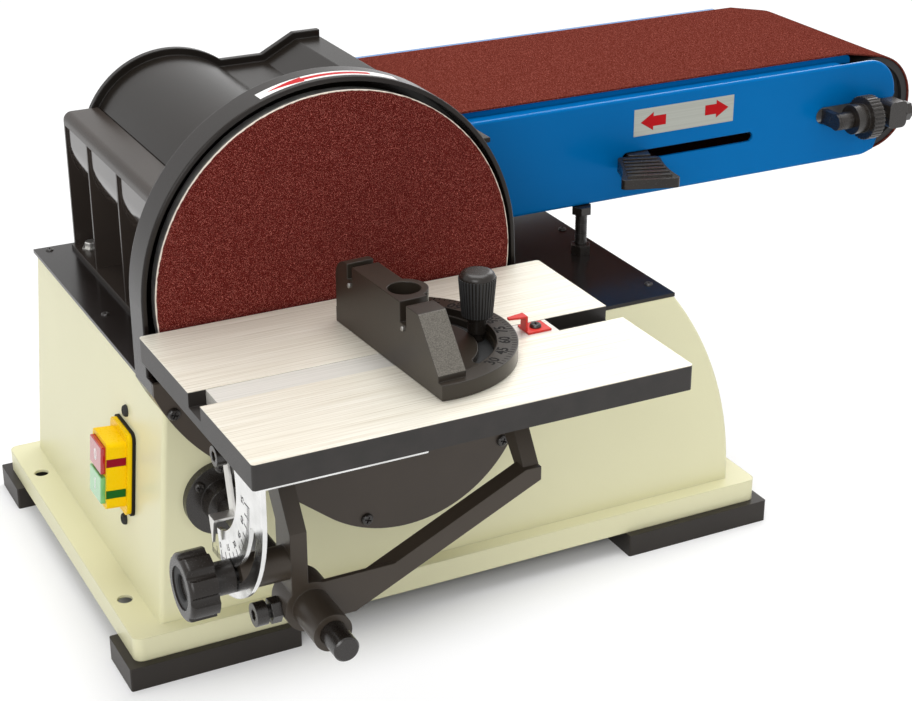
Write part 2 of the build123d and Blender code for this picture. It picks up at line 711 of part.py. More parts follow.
# Disc: abrasive paper, metal plate with its hub, and the shaft through everything
disc_back = PAPER + DISC_PLATE
hub_back = disc_back + DISC_HUB
shaft_front = PAPER + DISC_PLATE / 3
rear_bearing_back = arm_rear + CLEARANCE + REAR_BEARING_WIDTH
with BuildPart() as abrasive_disc:
    with BuildSketch(front_plane(PAPER)):
        Circle(DISC_RADIUS)
    extrude(amount=PAPER)
abrasive_disc.part.label = "abrasive_disc"
export_step(abrasive_disc.part, "parts/abrasive_disc.step")

with BuildPart() as disc_plate:
    with BuildSketch(front_plane(disc_back)):
        Circle(DISC_RADIUS - PAPER_PROUD)
    extrude(amount=DISC_PLATE)
    with BuildSketch(front_plane(hub_back)):
        Circle(DISC_HUB_RADIUS - GUARD_WALL)
    extrude(amount=DISC_HUB)
    with BuildSketch(front_plane(hub_back)):
        Circle(SHAFT_RADIUS + FIT)
    extrude(amount=hub_back - shaft_front, mode=Mode.SUBTRACT)
disc_plate.part.label = "disc_plate"
export_step(disc_plate.part, "parts/disc_plate.step")

with BuildPart() as drive_shaft:
    with BuildSketch(front_plane(rear_bearing_back)):
        Circle(SHAFT_RADIUS)
    extrude(amount=rear_bearing_back - shaft_front - FIT)
drive_shaft.part.label = "drive_shaft"
export_step(drive_shaft.part, "parts/drive_shaft.step")

# Pulleys with flanged grooves, and the flat ribbed drive belt between them
pulley_width = PULLEY_GROOVE + 2 * PULLEY_FLANGE
pulley_back = hub_back + CLEARANCE + pulley_width
pulleys = {
    "driven_pulley": ((0, 0), DRIVEN_RADIUS, SHAFT_RADIUS),
    "motor_pulley": ((MOTOR_X, MOTOR_Z), DRIVER_RADIUS, MOTOR_SHAFT_RADIUS),
}
for pulley_name, (pulley_centre, floor_radius, bore_radius) in pulleys.items():
    with BuildPart() as pulley:
        with BuildSketch(front_plane(pulley_back)):
            with Locations(pulley_centre):
                Circle(floor_radius + PULLEY_LIP)
        extrude(amount=pulley_width)
        with BuildSketch(front_plane(pulley_back - PULLEY_FLANGE)):
            with Locations(pulley_centre):
                Circle(floor_radius + 2 * PULLEY_LIP)
                Circle(floor_radius, mode=Mode.SUBTRACT)
        extrude(amount=PULLEY_GROOVE, mode=Mode.SUBTRACT)
        with BuildSketch(front_plane(pulley_back)):
            with Locations(pulley_centre):
                Circle(bore_radius + FIT)
        extrude(amount=pulley_width, mode=Mode.SUBTRACT)
    pulley.part.label = pulley_name
    export_step(pulley.part, f"parts/{pulley_name}.step")

drive_loop = [(MOTOR_X, MOTOR_Z, DRIVER_RADIUS + CLEARANCE), (0, 0, DRIVEN_RADIUS + CLEARANCE)]
with BuildPart() as drive_belt:
    with BuildSketch(front_plane(pulley_back - PULLEY_FLANGE - CLEARANCE)):
        add(belt_outline([(x, z, radius + DRIVE_BELT) for x, z, radius in drive_loop]))
        add(belt_outline(drive_loop), mode=Mode.SUBTRACT)
    extrude(amount=PULLEY_GROOVE - 2 * CLEARANCE)
drive_belt.part.label = "drive_belt"
export_step(drive_belt.part, "parts/drive_belt.step")

# Motor: ribbed body bolted to the inside of the front panel, with its fan cover behind
motor_front = cabinet_front + SHEET
motor_back = motor_front + MOTOR_LENGTH
with BuildPart() as motor:
    with BuildSketch(front_plane(motor_back)):
        with Locations((MOTOR_X, MOTOR_Z)):
            Circle(MOTOR_RADIUS - MOTOR_RIB)
            with PolarLocations(MOTOR_RADIUS - MOTOR_RIB, MOTOR_RIBS):
                Rectangle(2 * MOTOR_RIB, MOTOR_RIB)
    extrude(amount=MOTOR_LENGTH)
    with BuildSketch(front_plane(motor_back)):
        with Locations((MOTOR_X, MOTOR_Z)):
            Circle(MOTOR_RADIUS)
    extrude(amount=MOTOR_FAN_COVER)
    with BuildSketch(front_plane(motor_front)):
        with Locations((MOTOR_X, MOTOR_Z)):
            Circle(MOTOR_SHAFT_RADIUS + RUNNING)
    extrude(amount=-MOTOR_BORE, mode=Mode.SUBTRACT)
motor.part.label = "motor"
export_step(motor.part, "parts/motor.step")

with BuildPart() as motor_shaft:
    with BuildSketch(front_plane(motor_front + MOTOR_BORE - CLEARANCE)):
        with Locations((MOTOR_X, MOTOR_Z)):
            Circle(MOTOR_SHAFT_RADIUS)
    extrude(amount=motor_front + MOTOR_BORE - CLEARANCE - pulley_back + pulley_width)
motor_shaft.part.label = "motor_shaft"
export_step(motor_shaft.part, "parts/motor_shaft.step")

# Front bearing block: pedestal with a barrel whose rear spigot carries the arm's front plate
block_front = GUARD_BACK + FRONT_BLOCK
barrel_back = arm_front - 3 * CLEARANCE - HOOD_TAB
spigot_back = arm_inner_front + CLEARANCE
block_height = -plate_top
with BuildPart() as front_bearing_block:
    with BuildSketch(level_plane(plate_top)):
        with Locations((0, block_front)):
            Rectangle(BLOCK_LENGTH, barrel_back - block_front, align=(Align.CENTER, Align.MIN))
    extrude(amount=BLOCK_BASE)
    with BuildSketch(front_plane(barrel_back)):
        Rectangle(BLOCK_WEB, block_height, align=(Align.CENTER, Align.MAX))
        Circle(BARREL_RADIUS)
    extrude(amount=barrel_back - block_front)
    with BuildSketch(front_plane(spigot_back)):
        Circle(FRONT_SPIGOT_RADIUS)
    extrude(amount=spigot_back - barrel_back)
    with BuildSketch(front_plane(spigot_back)):
        Circle(SHAFT_ROOM)
    extrude(amount=spigot_back - block_front, mode=Mode.SUBTRACT)
    with BuildSketch(front_plane(block_front + BEARING_WIDTH)):
        Circle(BEARING_RADIUS + FIT)
    extrude(amount=BEARING_WIDTH, mode=Mode.SUBTRACT)
front_bearing_block.part.label = "front_bearing_block"
export_step(front_bearing_block.part, "parts/front_bearing_block.step")

# Rear bearing block: thin pedestal behind the arm, with a spigot for the arm's rear plate
rear_block_front = arm_rear + CLEARANCE
rear_spigot_front = arm_inner_rear - CLEARANCE
with BuildPart() as rear_bearing_block:
    with BuildSketch(level_plane(plate_top)):
        with Locations((0, rear_bearing_back)):
            Rectangle(BLOCK_LENGTH, REAR_BLOCK_FOOT, align=(Align.CENTER, Align.MAX))
    extrude(amount=REAR_BLOCK_BASE)
    with BuildSketch(front_plane(rear_bearing_back)):
        Rectangle(BLOCK_WEB, block_height, align=(Align.CENTER, Align.MAX))
        Circle(BARREL_RADIUS)
    extrude(amount=REAR_BEARING_WIDTH)
    with BuildSketch(front_plane(rear_block_front)):
        Circle(REAR_SPIGOT_RADIUS)
    extrude(amount=rear_block_front - rear_spigot_front)
    with BuildSketch(front_plane(rear_block_front)):
        Circle(SHAFT_ROOM)
    extrude(amount=rear_block_front - rear_spigot_front, mode=Mode.SUBTRACT)
    with BuildSketch(front_plane(rear_bearing_back)):
        Circle(REAR_BEARING_RADIUS + FIT)
    extrude(amount=REAR_BEARING_WIDTH, mode=Mode.SUBTRACT)
rear_bearing_block.part.label = "rear_bearing_block"
export_step(rear_bearing_block.part, "parts/rear_bearing_block.step")

# Ball bearings, drawn as plain rings
bearings = {
    "front_bearing": (block_front + BEARING_WIDTH, BEARING_RADIUS, BEARING_WIDTH),
    "rear_bearing": (rear_bearing_back, REAR_BEARING_RADIUS, REAR_BEARING_WIDTH),
}
for bearing_name, (bearing_back, outer_radius, bearing_width) in bearings.items():
    with BuildPart() as bearing:
        with BuildSketch(front_plane(bearing_back)):
            Circle(outer_radius)
            Circle(SHAFT_RADIUS + RUNNING, mode=Mode.SUBTRACT)
        extrude(amount=bearing_width)
    bearing.part.label = bearing_name
    export_step(bearing.part, f"parts/{bearing_name}.step")

# Rollers: drum on the shaft and idler on its axle, both with a ring recess in each end
idler_front = BELT_FRONT + IDLER_INSET
idler_length = BELT_WIDTH - 2 * IDLER_INSET
idler_bore = AXLE_RADIUS + RUNNING
rollers = {
    "drive_drum": ((0, 0), drum_front, drum_length, DRUM_WALL, DRUM_RECESS, SHAFT_RADIUS + FIT),
    "idler_roller": (idler_centre, idler_front, idler_length, IDLER_WALL, IDLER_RECESS, idler_bore),
}
for roller_name, (roller_centre, roller_front, length, wall, recess, bore) in rollers.items():
    with BuildPart() as roller:
        with BuildSketch(front_plane(roller_front + length)):
            with Locations(roller_centre):
                Circle(DRUM_RADIUS)
                Circle(bore, mode=Mode.SUBTRACT)
        extrude(amount=length)
        for recess_back in (roller_front + recess, roller_front + length):
            with BuildSketch(front_plane(recess_back)):
                with Locations(roller_centre):
                    Circle(DRUM_RADIUS - wall)
                    Circle(DRUM_HUB_RADIUS, mode=Mode.SUBTRACT)
            extrude(amount=recess, mode=Mode.SUBTRACT)
    roller.part.label = roller_name
    export_step(roller.part, f"parts/{roller_name}.step")

# Drum housing: ledge with a rounded shoulder, wall curved round the drum, bays between fins, a foot flange
housing_front = GUARD_BACK + 2 * CLEARANCE
housing_rear = HOOD_REAR - HOOD_RIM - CLEARANCE
housing_length = housing_rear - housing_front
shoulder_z = LEDGE_TOP - SHOULDER
shoulder_centre = (SHOULDER - HOUSING_LEFT, shoulder_z)
housing_radius = HOOD_RADIUS + HOUSING_GAP
wall_radius = housing_radius + HOUSING_WALL
wall_top = 180 - degrees(asin(LEDGE_TOP / housing_radius))
wall_foot = polar((0, 0), housing_radius, HOUSING_TURN)
fin_rears = [housing_rear]
fin_rears += [FIN_FIRST - index * FIN_PITCH for index in range(FIN_COUNT)]
fin_rears += [housing_front + FIN]
with BuildPart() as drum_housing:
    with BuildSketch(front_plane(housing_rear)):
        with BuildLine():
            Polyline(
                (wall_foot[0], plate_top),
                (-HOUSING_FLANGE_LEFT, plate_top),
                (-HOUSING_FLANGE_LEFT, plate_top + HOUSING_FLANGE),
                (-HOUSING_LEFT, plate_top + HOUSING_FLANGE),
                (-HOUSING_LEFT, shoulder_z),
            )
            ThreePointArc(
                (-HOUSING_LEFT, shoulder_z),
                polar(shoulder_centre, SHOULDER, 135),
                (shoulder_centre[0], LEDGE_TOP),
            )
            Line((shoulder_centre[0], LEDGE_TOP), polar((0, 0), housing_radius, wall_top))
            ThreePointArc(
                polar((0, 0), housing_radius, wall_top),
                polar((0, 0), housing_radius, (wall_top + HOUSING_TURN) / 2),
                wall_foot,
            )
            Line(wall_foot, (wall_foot[0], plate_top))
        make_face()
    extrude(amount=housing_length)
    for bay_rear, bay_front in zip(fin_rears[:-1], fin_rears[1:]):
        with BuildSketch(front_plane(bay_rear - FIN)):
            with Locations((-HOUSING_FLANGE_LEFT, plate_top + HOUSING_FLANGE)):
                Rectangle(
                    HOUSING_FLANGE_LEFT + wall_foot[0] - HOUSING_WALL,
                    shoulder_z - plate_top - HOUSING_FLANGE,
                    align=(Align.MIN, Align.MIN),
                )
            Circle(wall_radius, mode=Mode.SUBTRACT)
        extrude(amount=bay_rear - FIN - bay_front, mode=Mode.SUBTRACT)
drum_housing.part.label = "drum_housing"
export_step(drum_housing.part, "parts/drum_housing.step")

# Arm side plates: long plates with a round end, a nose and folded edges
lever_slot_half = (LEVER_Y - arm_front) * sin(radians(LEVER_SWING)) / cos(radians(LEVER_SWING))
lever_slot_height = LEVER + 4 * CLEARANCE
lever_slot_half += LEVER_WIDTH / 2 / cos(radians(LEVER_SWING)) + lever_slot_height / 2
axle_slot_end = IDLER_X + AXLE_RADIUS + AXLE_SLOT_ROOM
axle_slot_x = (AXLE_SLOT_START + axle_slot_end) / 2
nose_x = IDLER_X + ARM_NOSE


def arm_outline(flange_top):
    """Front view of an arm plate: round about the drum, with a nose, a cut-back chin and a raised edge."""
    nose = (nose_x - ARM_NOSE_ROUND, ARM_TOP - ARM_NOSE_ROUND)
    with BuildSketch() as outline:
        with BuildLine():
            ThreePointArc(
                (0, ARM_TOP),
                ((ARM_BOTTOM - ARM_TOP) / 2, (ARM_BOTTOM + ARM_TOP) / 2),
                (0, ARM_BOTTOM),
            )
            Polyline(
                (0, ARM_BOTTOM),
                (nose_x - ARM_CHIN - ARM_CHIN_CUT, ARM_BOTTOM),
                (nose_x - ARM_CHIN, ARM_BOTTOM + ARM_CHIN_RISE),
                (nose_x, nose[1]),
            )
            ThreePointArc((nose_x, nose[1]), polar(nose, ARM_NOSE_ROUND, 45), (nose[0], ARM_TOP))
            Line((nose[0], ARM_TOP), (0, ARM_TOP))
        make_face()
        with Locations((FLANGE_START, flange_top)):
            Rectangle(FLANGE_END - FLANGE_START, flange_top - ARM_BOTTOM, align=(Align.MIN, Align.MAX))
    return outline.sketch


arm_sides = {
    "arm_front_plate": (arm_front, 1, FRONT_SPIGOT_RADIUS, ARM_TOP),
    "arm_rear_plate": (arm_rear, -1, REAR_SPIGOT_RADIUS, ARM_TOP + ARM_REAR_RISE),
}
for plate_name, (outer_y, inward, spigot_radius, side_top) in arm_sides.items():
    with BuildPart() as arm_plate:
        with BuildSketch(front_plane(outer_y)):
            add(arm_outline(side_top))
        extrude(amount=-inward * ARM_SHEET)
        with BuildSketch(front_plane(outer_y)):
            with Locations((FLANGE_START, side_top)):
                Rectangle(FLANGE_END - FLANGE_START, ARM_SHEET, align=(Align.MIN, Align.MAX))
        extrude(amount=-inward * FLANGE_REACH)
        with BuildSketch(front_plane(outer_y)):
            with Locations((FLANGE_START, ARM_BOTTOM)):
                Rectangle(FLANGE_END - FLANGE_START, ARM_SHEET, align=(Align.MIN, Align.MIN))
        extrude(amount=-inward * BOTTOM_FLANGE_REACH)
        fold_edges = arm_plate.edges().filter_by(Axis.X).group_by(Axis.Y)
        fold_edges = (fold_edges[0] if inward > 0 else fold_edges[-1]).group_by(Axis.Z)
        fillet(fold_edges[0] + fold_edges[-1], radius=ARM_BEND)
        with BuildSketch(front_plane(outer_y)):
            Circle(spigot_radius + RUNNING)
            with Locations((axle_slot_x, IDLER_Z)):
                SlotOverall(axle_slot_end - AXLE_SLOT_START, AXLE_SLOT_HEIGHT)
            if inward > 0:
                with Locations((LEVER_X, LEVER_Z + LEVER / 2)):
                    SlotOverall(2 * lever_slot_half, lever_slot_height)
        extrude(amount=-inward * ARM_SHEET, mode=Mode.SUBTRACT)
    arm_plate.part.label = plate_name
    export_step(arm_plate.part, f"parts/{plate_name}.step")

# Cross web: folded sheet that ties the side plates and carries the platen and the lever's pivot
with BuildPart() as arm_web:
    with BuildSketch(level_plane(web_top)):
        with Locations((WEB_START, arm_inner_front)):
            Rectangle(WEB_END - WEB_START, arm_inner_rear - arm_inner_front, align=(Align.MIN, Align.MIN))
    extrude(amount=-ARM_SHEET)
    with BuildSketch(level_plane(web_top)):
        with Locations((WEB_START, arm_inner_front)):
            Rectangle(WEB_END - WEB_START, ARM_SHEET, align=(Align.MIN, Align.MIN))
        with Locations((WEB_START, arm_inner_rear)):
            Rectangle(WEB_END - WEB_START, ARM_SHEET, align=(Align.MIN, Align.MAX))
    extrude(amount=-WEB_TAB)
arm_web.part.label = "arm_web"
export_step(arm_web.part, "parts/arm_web.step")

# Platen: flat plate behind the belt's upper run, rounded at both ends
platen_front = arm_front + FLANGE_REACH + PLATEN_GAP
platen_rear = belt_rear + BELT_FRONT - platen_front
with BuildPart() as platen:
    with BuildSketch(front_plane(platen_rear)):
        with Locations((PLATEN_START, web_top)):
            Rectangle(PLATEN_END - PLATEN_START, PLATEN, align=(Align.MIN, Align.MIN))
    extrude(amount=platen_rear - platen_front)
    fillet(platen.edges().filter_by(Axis.Y).group_by(Axis.Z)[-1], radius=PLATEN_ROUND)
platen.part.label = "platen"
export_step(platen.part, "parts/platen.step")

# Sanding belt: one endless loop over drum, platen and idler
turn_radius = PLATEN_ROUND + CLEARANCE
turn_z = platen_top - PLATEN_ROUND
sanding_loop = [
    (0, 0, roller_path),
    (IDLER_X, IDLER_Z, roller_path),
    (PLATEN_END - PLATEN_ROUND, turn_z, turn_radius),
    (PLATEN_START + PLATEN_ROUND, turn_z, turn_radius),
]
with BuildPart() as sanding_belt:
    with BuildSketch(front_plane(belt_rear)):
        add(belt_outline([(x, z, radius + BELT) for x, z, radius in sanding_loop]))
        add(belt_outline(sanding_loop), mode=Mode.SUBTRACT)
    extrude(amount=BELT_WIDTH)
sanding_belt.part.label = "sanding_belt"
export_step(sanding_belt.part, "parts/sanding_belt.step")
print("sanding belt loop", round(sanding_belt.part.volume / BELT / BELT_WIDTH, 1))

# Hood: shell over the drum, a saddle and a ramp over the belt, a raised rear rim and two fixing tabs
hood_front = GUARD_BACK + HOOD_FRONT_GAP


def hood_outline(outside, inside):
    """Cross-section of the hood between two offsets from its outer surface."""
    slope = atan2(RAMP_Z - SADDLE_Z, RAMP_X - SADDLE_END)
    shift = sin(slope / 2) / cos(slope / 2)

    def run(offset):
        radius = HOOD_RADIUS + offset
        saddle = SADDLE_Z + offset
        saddle_angle = degrees(asin(saddle / radius))
        start = polar((0, 0), radius, HOOD_START)
        middle = polar((0, 0), radius, (HOOD_START + saddle_angle) / 2)
        knees = [
            polar((0, 0), radius, saddle_angle),
            (SADDLE_END - offset * shift, saddle),
            (RAMP_X - offset * shift, RAMP_Z + offset),
            (HOOD_END, RAMP_Z + offset),
        ]
        return start, middle, knees

    outer_start, outer_middle, outer_knees = run(outside)
    inner_start, inner_middle, inner_knees = run(inside)
    with BuildSketch() as outline:
        with BuildLine():
            ThreePointArc(outer_start, outer_middle, outer_knees[0])
            Polyline(*outer_knees, *inner_knees[::-1])
            ThreePointArc(inner_knees[0], inner_middle, inner_start)
            Line(inner_start, outer_start)
        make_face()
    return outline.sketch


with BuildPart() as drum_hood:
    with BuildSketch(front_plane(HOOD_REAR)):
        add(hood_outline(0, -HOOD_WALL))
    extrude(amount=HOOD_REAR - hood_front)
    with BuildSketch(front_plane(HOOD_REAR)):
        add(hood_outline(HOOD_RIM, -HOOD_WALL))
    extrude(amount=HOOD_RIM)
    for tab_back in (arm_front - CLEARANCE, arm_rear + CLEARANCE + HOOD_TAB):
        with BuildSketch(front_plane(tab_back)):
            Polygon(
                (HOOD_TAB_LEFT, HOOD_TAB_FOOT),
                (HOOD_TAB_RIGHT, HOOD_TAB_FOOT),
                (HOOD_TAB_RIGHT, RAMP_Z - HOOD_WALL / 2),
                (RAMP_X, RAMP_Z - HOOD_WALL / 2),
                (HOOD_TAB_LEFT, SADDLE_Z),
                align=None,
            )
        extrude(amount=HOOD_TAB)
drum_hood.part.label = "drum_hood"
export_step(drum_hood.part, "parts/drum_hood.step")

# Tension lever: flat bar on a pivot bolt, with a cam pin for the carriage and a ribbed paddle
lever_turn = radians(LEVER_SWING)
lever_direction = (-sin(lever_turn), -cos(lever_turn))
lever_origin = (axis_x + LEVER_X, face_y + LEVER_Y)
paddle_start = (LEVER_Y - arm_front + CLEARANCE + PADDLE_WIDTH / 2 * sin(lever_turn)) / cos(lever_turn)
paddle_start += CLEARANCE


def lever_plane(z):
    """Level plane on the lever's pivot; its first axis runs out along the lever."""
    return Plane(
        origin=(lever_origin[0], lever_origin[1], AXIS_HEIGHT + z),
        x_dir=(lever_direction[0], lever_direction[1], 0),
        z_dir=(0, 0, 1),
    )


with BuildPart() as lever_pivot:
    with BuildSketch(lever_plane(web_top - ARM_SHEET)):
        Circle(LEVER_PIN_RADIUS)
    extrude(amount=LEVER_Z - web_top + ARM_SHEET - CLEARANCE)
    with BuildSketch(lever_plane(LEVER_Z - CLEARANCE)):
        Circle(LEVER_HEAD_RADIUS)
    extrude(amount=-LEVER_HEAD)
    with BuildSketch(lever_plane(web_top - ARM_SHEET)):
        Circle(LEVER_HUB_RADIUS)
    extrude(amount=LEVER_Z + LEVER + CLEARANCE - web_top + ARM_SHEET)
lever_pivot.part.label = "lever_pivot"
export_step(lever_pivot.part, "parts/lever_pivot.step")

with BuildPart() as tension_lever:
    with BuildSketch(lever_plane(LEVER_Z)):
        Circle(LEVER_HUB_RADIUS + CAM_PIN_RADIUS)
        Rectangle(paddle_start, LEVER_WIDTH, align=(Align.MIN, Align.CENTER))
        with Locations((-CAM_RADIUS, 0)):
            Circle(2 * CAM_PIN_RADIUS)
        Circle(LEVER_PIN_RADIUS + RUNNING, mode=Mode.SUBTRACT)
    extrude(amount=LEVER)
    with BuildSketch(lever_plane(LEVER_Z)):
        with Locations((-CAM_RADIUS, 0)):
            Circle(CAM_PIN_RADIUS)
    extrude(amount=-2 * CLEARANCE - PULL_BAR - LEVER_HEAD)
tension_lever.part.label = "tension_lever"
export_step(tension_lever.part, "parts/tension_lever.step")

paddle_half = PADDLE_WIDTH / 2
paddle_waist = paddle_half - PADDLE_WAIST
paddle_mid = paddle_start + PADDLE_LENGTH / 2
paddle_end = paddle_start + PADDLE_LENGTH
with BuildPart() as lever_paddle:
    with BuildSketch(lever_plane(LEVER_Z + LEVER / 2 - PADDLE / 2)):
        with BuildLine():
            Line((paddle_start, paddle_half), (paddle_start, -paddle_half))
            ThreePointArc(
                (paddle_start, -paddle_half),
                (paddle_mid, -paddle_waist),
                (paddle_end, -paddle_half),
            )
            Line((paddle_end, -paddle_half), (paddle_end, paddle_half))
            ThreePointArc(
                (paddle_end, paddle_half),
                (paddle_mid, paddle_waist),
                (paddle_start, paddle_half),
            )
        make_face()
    extrude(amount=PADDLE)
    fillet(lever_paddle.edges().filter_by(Axis.Z), radius=PADDLE / 3)
    rib_pitch = PADDLE_LENGTH / (PADDLE_RIBS + 1)
    with BuildSketch(lever_plane(LEVER_Z + LEVER / 2 + PADDLE / 2)):
        for rib_index in range(PADDLE_RIBS):
            with Locations((paddle_start + (rib_index + 1) * rib_pitch, 0)):
                Rectangle(rib_pitch / 2, PADDLE_WIDTH - PADDLE)
    extrude(amount=PADDLE_RIB)
lever_paddle.part.label = "lever_paddle"
export_step(lever_paddle.part, "parts/lever_paddle.step")

# Idler carriage: fork beside the roller, cross bar, and a pull bar notched for the cam pin
cam_x = LEVER_X + CAM_RADIUS * sin(lever_turn)
cam_y = LEVER_Y + CAM_RADIUS
fork_rear = IDLER_X - FORK_LENGTH
fork_front_y = arm_inner_front + CLEARANCE
fork_rear_y = arm_inner_rear - CLEARANCE
pull_bar_top = LEVER_Z - 2 * CLEARANCE - LEVER_HEAD
pull_bar_front = LEVER_Y + LEVER_HEAD_RADIUS + 2 * CLEARANCE
with BuildPart() as idler_carriage:
    for fork_back in (fork_front_y + FORK_PLATE, fork_rear_y):
        with BuildSketch(front_plane(fork_back)):
            with Locations((fork_rear, IDLER_Z)):
                Rectangle(FORK_LENGTH + FORK_NOSE, FORK_HEIGHT, align=(Align.MIN, Align.CENTER))
            with Locations(idler_centre):
                Circle(AXLE_RADIUS + FIT, mode=Mode.SUBTRACT)
        extrude(amount=FORK_PLATE)
    with BuildSketch(level_plane(pull_bar_top - PULL_BAR)):
        with Locations((fork_rear, fork_front_y)):
            Rectangle(CROSS_BAR, fork_rear_y - fork_front_y, align=(Align.MIN, Align.MIN))
    extrude(amount=CROSS_BAR_HEIGHT)
    with BuildSketch(level_plane(pull_bar_top - PULL_BAR)):
        with Locations((LEVER_X - PULL_BAR_TAIL, pull_bar_front)):
            Rectangle(fork_rear - LEVER_X + PULL_BAR_TAIL, PULL_BAR_WIDTH, align=(Align.MIN, Align.MIN))
        with Locations((cam_x, pull_bar_front)):
            Rectangle(
                2 * CAM_PIN_RADIUS + 2 * CLEARANCE,
                cam_y + CAM_PIN_RADIUS + CLEARANCE - pull_bar_front,
                align=(Align.CENTER, Align.MIN),
                mode=Mode.SUBTRACT,
            )
    extrude(amount=PULL_BAR)
idler_carriage.part.label = "idler_carriage"
export_step(idler_carriage.part, "parts/idler_carriage.step")

# Idler axle: round bar through the fork and the slots, with a drilled block outside the front plate
block_mid = arm_front - TRACKING_NUT_RADIUS - TRACKING_NUT_GAP
block_back = block_mid + AXLE_BLOCK_DEPTH / 2
with BuildPart() as idler_axle:
    with BuildSketch(front_plane(arm_rear + AXLE_END)):
        with Locations(idler_centre):
            Circle(AXLE_RADIUS)
    extrude(amount=arm_rear + AXLE_END - block_back)
    with BuildSketch(front_plane(block_back)):
        with Locations(idler_centre):
            RectangleRounded(AXLE_BLOCK, AXLE_BLOCK_HEIGHT, AXLE_BLOCK / 4)
    extrude(amount=AXLE_BLOCK_DEPTH)
    with BuildSketch(side_plane(IDLER_X - AXLE_BLOCK)):
        with Locations((block_mid, IDLER_Z)):
            Circle(TRACKING_RADIUS + FIT)
    extrude(amount=2 * AXLE_BLOCK, mode=Mode.SUBTRACT)
idler_axle.part.label = "idler_axle"
export_step(idler_axle.part, "parts/idler_axle.step")

# Tracking screw along the arm, its knurled nut with a collar, and the lug that steadies its sleeve
nut_left = IDLER_X - TRACKING_NUT_X - TRACKING_NUT / 2
collar_left = nut_left - TRACKING_COLLAR
sleeve_right = collar_left - CLEARANCE
sleeve_left = sleeve_right - TRACKING_SLEEVE
hex_left = IDLER_X + AXLE_BLOCK / 2
tracking_axis = (block_mid, IDLER_Z)
with BuildPart() as tracking_screw:
    with BuildSketch(side_plane(sleeve_left)):
        with Locations(tracking_axis):
            Circle(TRACKING_SLEEVE_RADIUS)
    extrude(amount=TRACKING_SLEEVE)
    with BuildSketch(side_plane(sleeve_right)):
        with Locations(tracking_axis):
            Circle(TRACKING_RADIUS)
    extrude(amount=hex_left + TRACKING_TAIL - sleeve_right)
    with BuildSketch(side_plane(hex_left)):
        with Locations(tracking_axis):
            RegularPolygon(TRACKING_HEX, 6)
    extrude(amount=TRACKING_HEX_LENGTH)
tracking_screw.part.label = "tracking_screw"
export_step(tracking_screw.part, "parts/tracking_screw.step")

with BuildPart() as tracking_nut:
    with BuildSketch(side_plane(nut_left)):
        with Locations(tracking_axis):
            Circle(TRACKING_NUT_RADIUS)
            with PolarLocations(TRACKING_NUT_RADIUS, TRACKING_KNURLS):
                Circle(TRACKING_RADIUS / 4, mode=Mode.SUBTRACT)
    extrude(amount=TRACKING_NUT)
    with BuildSketch(side_plane(collar_left)):
        with Locations(tracking_axis):
            Circle(TRACKING_COLLAR_RADIUS)
    extrude(amount=TRACKING_COLLAR)
    with BuildSketch(side_plane(collar_left)):
        with Locations(tracking_axis):
            Circle(TRACKING_RADIUS + RUNNING)
    extrude(amount=TRACKING_COLLAR + TRACKING_NUT, mode=Mode.SUBTRACT)
tracking_nut.part.label = "tracking_nut"
export_step(tracking_nut.part, "parts/tracking_nut.step")

with BuildPart() as tracking_lug:
    with BuildSketch(side_plane(sleeve_left + CLEARANCE)):
        with Locations((arm_front, IDLER_Z)):
            Rectangle(arm_front - block_mid, TRACKING_LUG_HEIGHT, align=(Align.MAX, Align.CENTER))
        with Locations(tracking_axis):
            Circle(TRACKING_LUG_HEIGHT / 2)
            Circle(TRACKING_SLEEVE_RADIUS + CLEARANCE, mode=Mode.SUBTRACT)
    extrude(amount=TRACKING_LUG)
tracking_lug.part.label = "tracking_lug"
export_step(tracking_lug.part, "parts/tracking_lug.step")

# Arm stop: hex bolt up through the top plate, held by its lock nut
stop_top = ARM_BOTTOM - CLEARANCE
with BuildPart() as arm_stop_bolt:
    with BuildSketch(level_plane(plate_bottom - STOP_BOLT_TAIL)):
        with Locations((stop_x, stop_y)):
            Circle(STOP_BOLT_RADIUS)
    extrude(amount=stop_top - STOP_BOLT_HEAD - plate_bottom + STOP_BOLT_TAIL)
    with BuildSketch(level_plane(stop_top - STOP_BOLT_HEAD)):
        with Locations((stop_x, stop_y)):
            RegularPolygon(STOP_BOLT_HEX, 6)
    extrude(amount=STOP_BOLT_HEAD)
arm_stop_bolt.part.label = "arm_stop_bolt"
export_step(arm_stop_bolt.part, "parts/arm_stop_bolt.step")

with BuildPart() as arm_stop_nut:
    with BuildSketch(level_plane(plate_top)):
        with Locations((stop_x, stop_y)):
            RegularPolygon(STOP_BOLT_HEX, 6)
            Circle(STOP_BOLT_RADIUS + RUNNING, mode=Mode.SUBTRACT)
    extrude(amount=STOP_NUT)
arm_stop_nut.part.label = "arm_stop_nut"
export_step(arm_stop_nut.part, "parts/arm_stop_nut.step")

# Table rod and the round flange that holds it on the cabinet's front
with BuildPart() as rod_flange:
    with BuildSketch(front_plane(cabinet_front)):
        with Locations((ROD_X, ROD_Z)):
            Circle(ROD_FLANGE_RADIUS)
    extrude(amount=ROD_FLANGE)
    with BuildSketch(front_plane(cabinet_front - ROD_FLANGE)):
        with Locations((ROD_X, ROD_Z)):
            Circle(ROD_SOCKET_RADIUS)
    extrude(amount=ROD_SOCKET)
    with BuildSketch(front_plane(cabinet_front - SHEET)):
        with Locations((ROD_X, ROD_Z)):
            Circle(ROD_RADIUS + FIT)
    extrude(amount=ROD_FLANGE + ROD_SOCKET, mode=Mode.SUBTRACT)
rod_flange.part.label = "rod_flange"
export_step(rod_flange.part, "parts/rod_flange.step")

